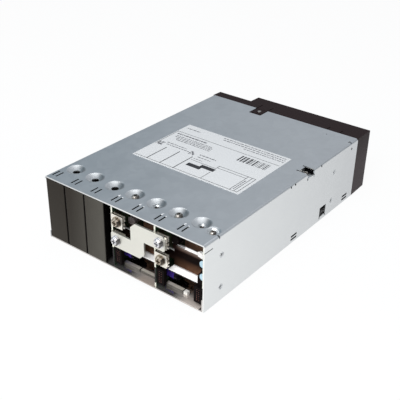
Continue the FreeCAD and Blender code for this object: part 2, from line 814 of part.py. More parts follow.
def build_sink(base, face):
    """A back plate with a deep lower ledge, a short brow with a lip, and a tab turned up from the brow."""
    foot = "sink_foot"
    front = f"{FRONT} + sink_back"
    rear = f"{front} + sink_ledge"
    brow = f"{rear} - sink_brow"
    end = f"{base} + 2 * {PITCH} + sink_over"
    wall = f"{rear} - sink_thick"
    ledge = f"{foot} + sink_thick"
    lip = f"{CROWN} - sink_lip"
    channel = profile("x", [(front, foot), (rear, foot), (rear, CROWN), (brow, CROWN), (brow, lip),
                            (wall, lip), (wall, ledge), (front, ledge)], (f"{base} + sink_side", end))
    near = f"{end} - sink_tab_in"
    tab = block((near, f"{near} + sink_tab_wide"), (brow, f"{brow} + sink_thick"),
                (f"{CROWN} - 1", f"{CROWN} + sink_tab_rise"))
    middle = f"(sink_foot + {CROWN}) * 0.5"
    tie = block((face, f"{base} + sink_side + 1"), (wall, rear),
                (f"{middle} - sink_tie / 2", f"{middle} + sink_tie / 2"))
    return join([channel, tab, tie])


def build_bracket(base, face, slot):
    top = (f"{SEAT} - bracket_thick", SEAT)
    deep = along("bracket_back", "bracket_long")
    plate = block((face, f"{base} + {PITCH} * 1.5 + bracket_over"), deep, top)
    leg = block((face, f"{face} + bracket_thick"), deep, (f"{SEAT} - bracket_tall", SEAT))
    bores = [rod("z", (f"{slot_left(slot + k)} + {PITCH} / 2", f"{FRONT} + seat_back"),
                 "screw_shank + screw_play",
                 (f"{SEAT} - bracket_thick - 1", f"{SEAT} + 1")) for k in (0, 1)]
    return cut(join([plate, leg]), bores)


def build_header(face, sign):
    far = f"{face} + {sign} * header_wide"
    wide = (face, far) if sign > 0 else (far, face)
    shroud = block(wide, along("header_back", "header_long"), ("header_foot", "header_foot + header_tall"))
    removed = []
    middle = f"{face} + {sign} * header_wide / 2"
    for column in (-0.5, 0.5):
        for pin in range(HEADER_ROWS):
            across = f"{middle} + pin_pitch * {column}"
            level = f"header_foot + header_tall / 2 + pin_pitch * ({pin} - {(HEADER_ROWS - 1) / 2})"
            removed.append(block((f"{across} - pin_half * 2", f"{across} + pin_half * 2"),
                                 along("header_back - 0.5", "2.5"),
                                 (f"{level} - pin_half * 2", f"{level} + pin_half * 2")))
    return cut(shroud, removed)


def build_trafo(base, face):
    deep = along("trafo_back", "trafo_long")
    crown = f"{SEAT} - trafo_drop"
    middle = f"{FRONT} + trafo_back + trafo_long / 2"
    bobbin = block((face, f"{face} + bobbin_thick"), deep, ("trafo_foot", crown))
    start = f"{face} + bobbin_thick"
    far = f"{base} + 2 * {PITCH} - trafo_far"
    core = cut(block((start, far), deep, ("trafo_foot", crown)),
               [block((f"{start} + trafo_core", f"{far} - trafo_core"), (f"{FRONT} + 1", f"{REAR} - 1"),
                      ("trafo_foot + trafo_core", f"{crown} - trafo_core"))])
    winding = block((f"{start} + trafo_core", f"{far} - trafo_core"), (f"{middle} - trafo_long * 0.62",
                    f"{middle} + trafo_long * 0.62"), ("trafo_foot + trafo_core", f"{crown} - trafo_core"))
    return group([bobbin, core, winding])


for letter, slot in MODULES.items():
    build_module(letter, slot)


# link bar from the lower terminal of the first module to the upper terminal of the second
def build_link():
    first = f"{slot_left(MODULES['a'])} + terminal_side"
    last = f"{slot_left(MODULES['b'])} + terminal_side"
    middle = f"(({first}) + ({last})) / 2"
    low = LOWER
    high = UPPER
    start = f"{first} - link_end"
    end = f"{last} + link_end"
    bar = profile("y", [
        (f"{start} + link_corner", f"{low} - link_arm"),
        (f"{middle} + link_neck - link_slant", f"{low} - link_arm"),
        (f"{middle} + link_neck", f"{low} - link_arm + link_slant"),
        (f"{middle} + link_neck", f"{high} - link_arm"),
        (f"{end} - link_corner * 0.5", f"{high} - link_arm"), (end, f"{high} - link_arm + link_corner * 0.5"),
        (end, f"{high} + link_arm - link_corner"), (f"{end} - link_corner", f"{high} + link_arm"),
        (f"{middle} - link_neck + link_slant", f"{high} + link_arm"),
        (f"{middle} - link_neck", f"{high} + link_arm - link_slant"),
        (f"{middle} - link_neck", f"{low} + link_arm"),
        (f"{start} + link_corner * 0.5", f"{low} + link_arm"),
        (start, f"{low} + link_arm - link_corner * 0.5"),
        (start, f"{low} - link_arm + link_corner")],
        (f"{FRONT} + terminal_back - link_thick", f"{FRONT} + terminal_back"))
    through = (f"{FRONT} + terminal_back - link_thick - 1", f"{FRONT} + terminal_back + 1")
    return cut(bar, [rod("y", (first, low), "screw_shank + screw_play", through),
                     rod("y", (last, high), "screw_shank + screw_play", through)])


node(build_link(), "link_bar")


def cross_recess(axis, centre, radius, span):
    """Two crossed bars that cut the drive into a screw head."""
    across, other = centre
    bars = []
    for wide, tall in (("0.16", "0.6"), ("0.6", "0.16")):
        limits = {name: (f"{at} - ({radius}) * {size}", f"{at} + ({radius}) * {size}")
                  for name, at, size in zip([n for n in "xyz" if n != axis], (across, other), (wide, tall))}
        limits[axis] = span
        bars.append(block(limits["x"], limits["y"], limits["z"]))
    return bars


def pan_screw(axis, centre, seat, sign, head, tall, shank, long, washer=None):
    """A pan-head screw seated at a level, its head on the side the sign gives and its shank the other way."""
    def span(near, far):
        low, high = f"{seat} + {sign} * ({near})", f"{seat} + {sign} * ({far})"
        return (low, high) if sign > 0 else (high, low)
    rise = washer[1] if washer else "0"
    pieces = [rod(axis, centre, shank, span(f"-({long})", f"{rise} + {tall} * 0.2")),
              rod(axis, centre, head, span(rise, f"{rise} + {tall} * 0.55"))]
    crown = span(f"{rise} + {tall} * 0.55", f"{rise} + {tall}")
    radii = (head, f"{head} * 0.72") if sign > 0 else (f"{head} * 0.72", head)
    pieces.append(cone(axis, centre, radii, crown))
    if washer:
        pieces.append(rod(axis, centre, washer[0], span("0", rise)))
    return cut(join(pieces), cross_recess(axis, centre, head,
                                          span(f"{rise} + {tall} * 0.45", f"{rise} + {tall} + 1")))


screws = []
for letter, slot in MODULES.items():
    for level, linked in ((LOWER, letter == "a"), (UPPER, letter == "b")):
        seat = f"{FRONT} + terminal_back - link_thick" if linked else f"{FRONT} + terminal_back"
        screws.append(pan_screw("y", (f"{slot_left(slot)} + terminal_side", level), seat, -1, "screw_head",
                                "screw_head_tall", "screw_shank", "screw_long",
                                ("washer_radius", "washer_thick")))
node(group(screws), "terminal_screws")

seat_screws = [pan_screw("z", (f"{slot_left(slot)} + {PITCH} / 2", f"{FRONT} + seat_back"),
                         f"{TOP} - seat_deep", 1,
                         "seat_head", "seat_head_tall", "screw_shank", "screw_long")
               for slot in MODULES.values()]
node(group(seat_screws), "module_screws")


# signal board in the right front corner
def build_signal():
    far = f"{WALL} - signal_gap + signal_thick"
    near = f"{WALL} - signal_gap"
    deep = along("signal_back", "signal_long")
    node(block((near, far), deep, ("signal_foot", f"{ROOF} - signal_drop")), "signal_board")
    node(build_header(near, -1), "signal_header")
    discs = [rod("y", (f"{near} - disc_radius", f"disc_low + disc_rise * {k}"), "disc_radius",
                 along("disc_back", "disc_thick")) for k in (0, 1)]
    node(group(discs), "signal_capacitors")
    long = (f"{FRONT} + signal_back + signal_long - angle_leg * 0.6", f"{FRONT} + trim_screw_back + 6")
    head = f"{TRIM_SEAT} - sheet_thick"
    flange = block((f"{near} - angle_wide", near), long, (f"{head} - angle_thick", head))
    leg = block((f"{near} - angle_thick", near), (long[0], f"{FRONT} + signal_back + signal_long"),
                (f"{head} - angle_leg", head))
    bore = rod("z", TRIM, "trim_shank + screw_play", (f"{head} - angle_thick - 1", f"{head} + 1"))
    node(cut(join([flange, leg]), [bore]), "signal_bracket")


build_signal()

trims = [pan_screw("z", TRIM, TRIM_SEAT, 1, "trim_head", "trim_head_tall", "trim_shank", "5"),
         pan_screw("z", EDGE, f"{TOP} - edge_drop", 1, "trim_head", "trim_head_tall", "trim_shank",
                   "sheet_thick + 2")]
for sign in (1, -1):
    spot = (f"{sign} * ({WALL} - tab_reach * 0.55)", f"{FRONT} + mount_far - tab_before + tab_long / 2")
    sunk = join([cone("z", spot, ("trim_head", "trim_shank"), ("0", FLOOR)),
                 rod("z", spot, "trim_shank", (f"{FLOOR} - 0.1", f"{FLOOR} + sheet_thick + 0.8"))])
    trims.append(cut(sunk, cross_recess("z", spot, "trim_head", ("-0.5", "0.5"))))
node(group(trims), "case_screws")


# front-end boards
def build_front_end():
    side = f"{WALL} - main_gap"
    deep = along("main_back", MAIN_LONG)
    spots = [(f"{sign} * ({RIGHT} - stand_in)", f"{FRONT} + {back}") for sign in (1, -1)
             for back in ("main_back + stand_set", "case_depth - stand_rear")]
    bores = [rod("z", spot, "trim_shank + screw_play", ("main_foot - 1", f"{DECK} + 1")) for spot in spots]
    node(cut(block((f"-({side})", side), deep, ("main_foot", DECK)), bores), "main_board")
    node(group([tube("z", spot, "stand_radius", "trim_shank + screw_play",
                     (FLOOR, "main_foot")) for spot in spots]),
         "board_spacers")
    node(group([pan_screw("z", spot, DECK, 1, "trim_head", "trim_head_tall", "trim_shank",
                          "4") for spot in spots]),
         "board_screws")
    node(block((f"-({RIGHT} - film_in)", f"{RIGHT} - film_in"), along("main_back + 8", f"{MAIN_LONG} - 20"),
               (FLOOR, f"{FLOOR} + film_thick")), "insulator_sheet")
    wall = along(PLANE, "plane_thick")
    node(block((f"-({WALL} - plane_in)", f"{WALL} - plane_in"), wall, (DECK, f"{ROOF} - plane_drop")),
         "backplane_board")
    bays = []
    for slot in range(SLOTS):
        near = f"{slot_left(slot)} + board_side"
        middle = f"{near} + board_thick / 2"
        shell = block((f"{middle} - bay_wide / 2", f"{middle} + bay_wide / 2"),
                      along(f"{PLANE} - bay_deep", "bay_deep"), ("bay_foot", "bay_foot + bay_tall"))
        groove = block((f"{near} - bay_play", f"{near} + board_thick + bay_play"),
                       along(f"{PLANE} - bay_deep - 1", "board_tongue + 1.2"),
                       ("tongue_low - bay_play", "tongue_low + tongue_rise + bay_play"))
        bays.append(cut(shell, [groove]))
    node(group(bays), "backplane_sockets")


def build_components():
    cans = [rod("z", (f"{RIGHT} - bulk_in", f"{FRONT} + main_back + bulk_set + bulk_step * {k}"),
                "bulk_radius",
                (DECK, f"{ROOF} - bulk_drop")) for k in range(3)]
    node(group(cans), "bulk_capacitors")
    tall = (DECK, f"{ROOF} - fin_drop")
    deep = along("main_back + fin_set", "fin_long")
    fins = [block(("fin_side", "fin_side + fin_plate"), deep, tall)]
    for k in range(FIN_COUNT):
        level = f"{ROOF} - fin_drop - fin_thick - fin_step * {k}"
        fins.append(block(("fin_side + fin_plate - 0.5", "fin_side + fin_plate + fin_reach"), deep,
                          (level, f"{level} + fin_thick")))
    node(join(fins), "primary_heatsink")
    packs = [block(("fin_side - pack_thick", "fin_side"),
                   along(f"main_back + fin_set + 3 + pack_step * {k}", "pack_wide"),
                   (f"{DECK} + 6", f"{DECK} + 6 + pack_tall")) for k in range(4)]
    node(group(packs), "power_transistors")
    node(tube("z", ("ring_side", f"{FRONT} + main_back + ring_set"), "ring_radius", "ring_bore",
              (DECK, f"{DECK} + ring_tall")),
         "boost_choke")
    node(tube("z", ("coil_side", f"{REAR} - coil_rear"), "coil_radius", "coil_bore",
              (DECK, f"{DECK} + coil_tall")),
         "line_choke")
    caps = [block((f"{LEFT} + film_cap_in", f"{LEFT} + film_cap_in + film_cap_wide"),
                  along(f"main_back + film_cap_set + film_cap_step * {k}", "film_cap_deep"),
                  (DECK, f"{DECK} + film_cap_tall"))
            for k in range(2)]
    node(group(caps), "line_capacitors")
    node(block((f"{LEFT} + relay_in", f"{LEFT} + relay_in + relay_wide"),
               along("main_back + relay_set", "relay_deep"),
               (DECK, f"{DECK} + relay_tall")), "inrush_relay")
    node(block((f"{LEFT} + standby_in", f"{LEFT} + standby_in + standby_wide"),
               along("main_back + standby_set", "standby_deep"),
               (DECK, f"{DECK} + standby_tall")), "standby_transformer")
    centre = (f"{REAR} - fuse_rear", f"{DECK} + fuse_height")
    glass = rod("x", centre, "fuse_radius", ("fuse_side", "fuse_side + fuse_long"))
    clips = [block((f"fuse_side + fuse_long * {k}", f"fuse_side + fuse_long * {k} + 4"),
                   (f"{centre[0]} - fuse_radius - 0.6", f"{centre[0]} + fuse_radius + 0.6"),
                   (DECK, centre[1]))
             for k in (0.02, 0.78)]
    node(join([glass] + clips), "line_fuse")


build_front_end()
build_components()

# moulded rear cover
STEP = f"-case_width / 2 + {COVER_STEP}"
FACE = "case_depth / 2 + cover_deep - cover_face"
SPREAD = f"({FAN} / 2 + fan_between / 2)"
FANS = {side: f"({COVER_STEP} / 2 {sense} {SPREAD})" for side, sense in (("left", "-"), ("right", "+"))}
INLET = f"-case_width / 2 + {COVER_STEP} / 2"


def build_cover():
    shells = []
    for wide, depth in (((STEP, RIGHT), "cover_deep"), ((LEFT, f"{STEP} + 4"), "cover_shallow")):
        shell = profile("y", rectangle(wide, ("0", TOP)), (REAR, f"{REAR} + {depth}"), "-cover_taper")
        end = SIZES["case_depth"] / 2 + SIZES[depth]
        soften(shell, "cover_soft", lambda point, edge, end=end: abs(point.y - end) < 0.01)
        shells.append(shell)
    inner = ("cover_wall", f"{TOP} - cover_wall")
    removed = [block((f"{STEP} + cover_wall", f"{RIGHT} - cover_wall"), (f"{REAR} - 1", FACE), inner),
               block((f"{LEFT} + cover_wall", f"{STEP} + cover_wall + 1"),
                     (f"{REAR} - 1", f"{REAR} + cover_shallow - cover_ledge"), inner)]
    catch = f"{LEFT} + catch_side + catch_wide / 2"
    for near in (f"{catch} - snap_wide / 2 - snap_slot", f"{catch} + snap_wide / 2"):
        removed.append(block((near, f"{near} + snap_slot"), (f"{REAR} - 1", f"{REAR} + snap_root"),
                             (f"{TOP} - cover_wall - 1", f"{TOP} + 1")))
    for near in (f"{LEFT} + hook_side - snap_slot", f"{LEFT} + hook_side + hook_wide"):
        removed.append(block((near, f"{near} + snap_slot"), (f"{REAR} - 1", f"{REAR} + hook_slit"),
                             (f"{TOP} - cover_wall - 1", f"{TOP} + 1")))
    for centre in FANS.values():
        through = (f"{FACE} - 1", f"{REAR} + cover_deep + 1")
        rings = [tube("y", (centre, MIDDLE), f"grille_first + {RING} * {k + 1} - grille_rib",
                      f"grille_first + {RING} * {k}", through) for k in range(3)]
        spokes = [block((f"{centre} - {FAN}", f"{centre} + {FAN}"),
                        (f"{FACE} - 2", f"{REAR} + cover_deep + 2"),
                        (f"{MIDDLE} - grille_spoke / 2", f"{MIDDLE} + grille_spoke / 2")),
                  block((f"{centre} - grille_spoke / 2", f"{centre} + grille_spoke / 2"),
                        (f"{FACE} - 2", f"{REAR} + cover_deep + 2"), ("-1", f"{TOP} + 1"))]
        removed.append(cut(group(rings), spokes))
        for across in (-1, 1):
            for level in (-1, 1):
                removed.append(rod("y", (f"{centre} + {across} * {FAN_HOLE}",
                                         f"{MIDDLE} + {level} * {FAN_HOLE}"),
                                   "screw_shank + screw_play", through))
    removed.append(block((f"{INLET} - inlet_half - inlet_play", f"{INLET} + inlet_half + inlet_play"),
                         (REAR, f"{REAR} + cover_shallow + 1"),
                         (f"{MIDDLE} - inlet_tall_half - inlet_play",
                          f"{MIDDLE} + inlet_tall_half + inlet_play")))
    for sign in (1, -1):
        removed.append(rod("y", (INLET, f"{MIDDLE} + {sign} * inlet_screw_half"), "trim_shank + screw_play",
                           (REAR, f"{REAR} + cover_shallow + 1")))
    added = [cut(join(shells), removed)]
    added.append(block((f"{catch} - snap_wide / 2", f"{catch} + snap_wide / 2"),
                       (f"{REAR} - snap_reach", f"{REAR} + 2"), (f"{TOP} - cover_wall", f"{TOP} - 0.1")))
    added.append(block((f"{catch} - 2.2", f"{catch} + 2.2"),
                       (f"{REAR} - snap_reach * 0.75", f"{REAR} - snap_reach * 0.55"),
                       (f"{TOP} - cover_wall", f"{TOP} + 0.3")))
    hook = (f"{LEFT} + hook_side", f"{LEFT} + hook_side + hook_wide")
    lip = f"{ROOF} - fit_gap"
    added.append(block(hook, (f"{REAR} - hook_reach", f"{REAR} + {HOOK_ROOT}"), (f"{lip} - hook_thick", lip)))
    added.append(block(hook, (REAR, f"{REAR} + {HOOK_ROOT}"),
                       (f"{lip} - hook_thick", f"{TOP} - cover_wall * 0.5")))
    for low in (f"{LEFT} + catch_side", f"{LEFT} + hook_side"):
        foot = f"{FLOOR} + fit_gap"
        added.append(block((low, f"{low} + snap_wide"), (f"{REAR} - hook_reach", f"{REAR} + {HOOK_ROOT}"),
                           (foot, f"{foot} + hook_thick")))
        added.append(block((low, f"{low} + snap_wide"), (REAR, f"{REAR} + {HOOK_ROOT}"),
                           ("cover_wall * 0.5", f"{foot} + hook_thick")))
    return join(added)


node(build_cover(), "rear_cover")


# fans
def build_fan(side, centre):
    start = f"{FACE} - fan_deep"
    half = f"{FAN} / 2"
    x = (f"{centre} - {half}", f"{centre} + {half}")
    z = (f"{MIDDLE} - {half}", f"{MIDDLE} + {half}")
    corners = []
    for first, second, across in ((x[0], z[0], (0, 1)), (x[1], z[0], (1, 0)), (x[1], z[1], (0, 1)),
                                  (x[0], z[1], (1, 0))):
        inward = ("+" if first == x[0] else "-", "+" if second == z[0] else "-")
        cut_x = (f"{first} {inward[0]} fan_corner", second)
        cut_z = (first, f"{second} {inward[1]} fan_corner")
        corners += [cut_z, cut_x] if across == (0, 1) else [cut_x, cut_z]
    frame = profile("y", corners, (start, FACE))
    axis = (centre, MIDDLE)
    removed = [rod("y", axis, FAN_BORE, (f"{start} - 1", f"{FACE} + 1"))]
    for across in (-1, 1):
        for level in (-1, 1):
            removed.append(rod("y", (f"{centre} + {across} * {FAN_HOLE}", f"{MIDDLE} + {level} * {FAN_HOLE}"),
                               "fan_hole", (f"{start} - 1", f"{FACE} + 1")))
    motor = (start, f"{start} + fan_disc_deep")
    added = [cut(frame, removed), rod("y", axis, "fan_disc", motor),
             rod("y", axis, "tube_radius", (start, f"{start} + fan_disc_deep + tube_long"))]
    added.append(block((f"{centre} - {FAN_BORE} - fan_rim * 0.4", f"{centre} + {FAN_BORE} + fan_rim * 0.4"),
                       motor,
                       (f"{MIDDLE} - fan_strut / 2", f"{MIDDLE} + fan_strut / 2")))
    added.append(block((f"{centre} - fan_strut / 2", f"{centre} + fan_strut / 2"), motor,
                       (f"{MIDDLE} - {FAN_BORE} - fan_rim * 0.4", f"{MIDDLE} + {FAN_BORE} + fan_rim * 0.4")))
    bore = rod("y", axis, "shaft_radius + shaft_play",
               (f"{start} + 1", f"{start} + fan_disc_deep + tube_long + 1"))
    node(cut(join(added), [bore]), f"fan_frame_{side}")
    node(build_rotor(centre, start), f"fan_rotor_{side}")


def build_rotor(centre, start):
    """Hub and shaft turned about the body's Y axis, then one twisted blade repeated round it."""
    body = doc.addObject("PartDesign::Body", "Rotor")
    near = "fan_disc_deep + rotor_gap"
    far = "fan_deep - rotor_gap"
    inner = "rotor_radius - rotor_wall"
    hub = outline(body, "XY_Plane", [
        ("0", "fan_disc_deep"), ("shaft_radius", "fan_disc_deep"), ("shaft_radius", f"{far} - rotor_wall"),
        (inner, f"{far} - rotor_wall"), (inner, near), ("rotor_radius", near), ("rotor_radius", far),
        ("0", far)])
    turned = body.newObject("PartDesign::Revolution", "Hub")
    turned.Profile = hub
    turned.ReferenceAxis = (hub, ["V_Axis"])
    turned.Angle = 360
    middle = f"(({near}) + ({far})) / 2"
    tip = f"sqrt(({FAN_BORE} - blade_gap) ^ 2 - blade_tip_half ^ 2)"
    ends = []
    for half, rise, height in (("blade_root_half", "blade_root_rise", "rotor_radius - rotor_wall * 0.85"),
                               ("blade_tip_half", "blade_tip_rise", tip)):
        low = f"{middle} - {rise}"
        high = f"{middle} + {rise}"
        ends.append(outline(body, "XY_Plane", [(f"-{half}", low), (f"-{half}", f"{low} + blade_thick"),
                                               (half, high), (half, f"{high} - blade_thick")], height))
    blade = body.newObject("PartDesign::AdditiveLoft", "Blade")
    blade.Profile = ends[0]
    blade.Sections = [ends[1]]
    blade.Ruled = True
    ring = body.newObject("PartDesign::PolarPattern", "Blades")
    ring.Originals = [blade]
    ring.Axis = (origin_part(body, "Y_Axis"), [""])
    ring.Angle = 360
    ring.Occurrences = BLADES
    body.Tip = ring
    bind(body, "Placement.Base.x", centre)
    bind(body, "Placement.Base.y", start)
    bind(body, "Placement.Base.z", MIDDLE)
    return body


for side, centre in FANS.items():
    build_fan(side, centre)

fan_screws = []
for centre in FANS.values():
    for across in (-1, 1):
        for level in (-1, 1):
            spot = (f"{centre} + {across} * {FAN_HOLE}", f"{MIDDLE} + {level} * {FAN_HOLE}")
            fan_screws.append(pan_screw("y", spot, f"{REAR} + cover_deep", 1, "screw_head", "screw_head_tall",
                                        "screw_shank", "cover_face + 9"))
node(group(fan_screws), "fan_screws")


# mains inlet
def bevelled(half, tall, slant):
    """Outline of the socket: two corners slanted on the earth side."""
    return [(f"{INLET} - ({half})", f"{MIDDLE} - ({tall})"),
            (f"{INLET} + ({half}) - ({slant})", f"{MIDDLE} - ({tall})"),
            (f"{INLET} + ({half})", f"{MIDDLE} - ({tall}) + ({slant})"),
            (f"{INLET} + ({half})", f"{MIDDLE} + ({tall}) - ({slant})"),
            (f"{INLET} + ({half}) - ({slant})", f"{MIDDLE} + ({tall})"),
            (f"{INLET} - ({half})", f"{MIDDLE} + ({tall})")]


def build_inlet():
    seat = f"{REAR} + cover_shallow"
    mouth = f"{seat} + inlet_flange_thick"
    back = f"{seat} - inlet_deep"
    socket = profile("y", bevelled("inlet_half", "inlet_tall_half", "inlet_slant"), (back, f"{seat} + 0.5"))
    flange = block((f"{INLET} - inlet_flange_half", f"{INLET} + inlet_flange_half"), (seat, mouth),
                   (f"{MIDDLE} - inlet_flange_tall", f"{MIDDLE} + inlet_flange_tall"))
    hollow = profile("y", bevelled("inlet_half - inlet_wall", "inlet_tall_half - inlet_wall", "inlet_slant"),
                     (f"{back} + inlet_floor", f"{mouth} + 1"))
    prongs = []
    holes = []
    for offset, level in (("prong_offset", "0"), ("-prong_offset", "prong_spread"),
                          ("-prong_offset", "-prong_spread")):
        x = (f"{INLET} + {offset} - prong_tall", f"{INLET} + {offset} + prong_tall")
        z = (f"{MIDDLE} + {level} - prong_half", f"{MIDDLE} + {level} + prong_half")
        prongs.append(block(x, (f"{back} - prong_tail", f"{mouth} - prong_recess"), z))
        holes.append(block(x, (f"{back} - 1", f"{back} + inlet_floor + 1"), z))
    screws = []
    sinks = []
    for sign in (1, -1):
        spot = (INLET, f"{MIDDLE} + {sign} * inlet_screw_half")
        sinks.append(cone("y", spot, ("trim_shank + screw_play", "trim_head + screw_play"), (seat, mouth)))
        sunk = join([cone("y", spot, ("trim_shank", "trim_head"), (seat, mouth)),
                     rod("y", spot, "trim_shank", (f"{seat} - 7", f"{seat} + 0.2"))])
        screws.append(cut(sunk, cross_recess("y", spot, "trim_head", (f"{mouth} - 0.8", f"{mouth} + 0.5"))))
    node(cut(join([socket, flange]), [hollow] + holes + sinks), "mains_inlet")
    node(group(prongs), "inlet_prongs")
    node(group(screws), "inlet_screws")


build_inlet()

node(block((f"{LEFT} + label_side", f"{LEFT} + label_side + label_wide"), along("label_back", "label_long"),
           (TOP, f"{TOP} + label_thick")), "rating_label")

doc.recompute()

for item in doc.Objects:
    if "Invalid" in item.State or "Error" in item.State:
        raise RuntimeError(f"{item.Name} {item.Label} did not build")
os.makedirs("parts", exist_ok=True)
for item in NODES:
    if item.Shape.isNull() or not item.Shape.isValid() or not item.Shape.Solids:
        raise RuntimeError(f"{item.Label} has no valid solid")
    item.Shape.exportStep(f"parts/{item.Label}.step")
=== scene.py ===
import math
import random

import bmesh
import bpy
from mathutils import Euler, Matrix, Vector


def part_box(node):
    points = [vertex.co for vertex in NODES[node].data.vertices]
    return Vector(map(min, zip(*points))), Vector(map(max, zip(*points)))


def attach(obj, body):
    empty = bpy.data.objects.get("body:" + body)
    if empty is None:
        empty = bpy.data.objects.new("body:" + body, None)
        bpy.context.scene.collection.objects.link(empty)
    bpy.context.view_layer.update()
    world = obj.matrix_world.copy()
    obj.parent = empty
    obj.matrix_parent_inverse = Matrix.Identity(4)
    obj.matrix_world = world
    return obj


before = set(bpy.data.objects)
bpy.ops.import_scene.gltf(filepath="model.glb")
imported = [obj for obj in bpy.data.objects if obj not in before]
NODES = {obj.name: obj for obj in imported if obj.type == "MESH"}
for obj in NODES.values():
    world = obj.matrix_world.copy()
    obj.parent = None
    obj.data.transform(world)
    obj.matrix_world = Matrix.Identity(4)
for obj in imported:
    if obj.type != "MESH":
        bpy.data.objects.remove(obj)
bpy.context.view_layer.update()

# Lengths below are in millimetres of the CAD frame; MM turns them into Blender's metres.
MM = 0.001


def corners(node):
    """The low and the high corner of a node's box, in millimetres."""
    return [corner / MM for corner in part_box(node)]


SHELL_LOW, SHELL_HIGH = corners("case_shell")
LABEL_LOW, LABEL_HIGH = corners("rating_label")
FRONT, REAR = SHELL_LOW.y, -SHELL_LOW.y
LEFT, RIGHT = SHELL_LOW.x, SHELL_HIGH.x
TOP = SHELL_HIGH.z
SHEET = 1.2
SLOTS = 7
SLOT_PITCH = 23.7
FIRST_SLOT = LEFT + SHEET
BAY = 2 * SLOT_PITCH


# shader building
def find(sockets, key):
    """A socket by its place, its identifier or its name."""
    if isinstance(key, int):
        return sockets[key]
    return next(socket for socket in sockets if key in (socket.identifier, socket.name))


class Value:
    """A shader socket; arithmetic on it adds Math nodes to its graph."""

    def __init__(self, graph, socket):
        self.graph = graph
        self.socket = socket

    def math(self, operation, first, second=0.0):
        return self.graph.add("ShaderNodeMath", {"operation": operation}, {0: first, 1: second})

    def __add__(self, other):
        return self.math("ADD", self, other)

    def __radd__(self, other):
        return self.math("ADD", other, self)

    def __sub__(self, other):
        return self.math("SUBTRACT", self, other)

    def __rsub__(self, other):
        return self.math("SUBTRACT", other, self)

    def __mul__(self, other):
        return self.math("MULTIPLY", self, other)

    def __rmul__(self, other):
        return self.math("MULTIPLY", other, self)

    def __truediv__(self, other):
        return self.math("DIVIDE", self, other)

    def __mod__(self, other):
        return self.math("FLOORED_MODULO", self, other)

    def __pow__(self, other):
        return self.math("POWER", self, other)

    def __gt__(self, other):
        return self.math("GREATER_THAN", self, other)

    def __lt__(self, other):
        return self.math("LESS_THAN", self, other)

    def __or__(self, other):
        return self.math("MAXIMUM", self, other)

    def __abs__(self):
        return self.math("ABSOLUTE", self)


class Graph:
    """A node tree whose nodes are all made by one method."""

    def __init__(self, tree):
        self.tree = tree

    def add(self, kind, settings=None, sockets=None, output=0):
        """Adds a node: its settings first, then the values or links of its sockets."""
        node = self.tree.nodes.new(kind)
        for key, setting in (settings or {}).items():
            setattr(node, key, setting)
        for key, value in (sockets or {}).items():
            self.feed(find(node.inputs, key), value)
        return Value(self, find(node.outputs, output)) if node.outputs else None

    def feed(self, socket, value):
        if isinstance(value, Value):
            self.tree.links.new(value.socket, socket)
        else:
            socket.default_value = value

    def split(self, vector):
        return [self.add("ShaderNodeSeparateXYZ", sockets={0: vector}, output=axis) for axis in "XYZ"]

    def ramp(self, value, low, high):
        """0 at the low end and beyond, 1 at the high end and beyond."""
        return self.add("ShaderNodeMapRange", {"clamp": True},
                        {"Value": value, "From Min": low, "From Max": high}, "Result")

    def between(self, value, low, high):
        return (value > low) * (value < high)

    def mix(self, factor, first, second):
        """From the first colour at 0 to the second at 1."""
        pair = {key: value if isinstance(value, Value) else (*value[:3], 1.0)
                for key, value in (("A_Color", first), ("B_Color", second))}
        return self.add("ShaderNodeMix", {"data_type": "RGBA"}, {"Factor_Float": factor, **pair},
                        "Result_Color")


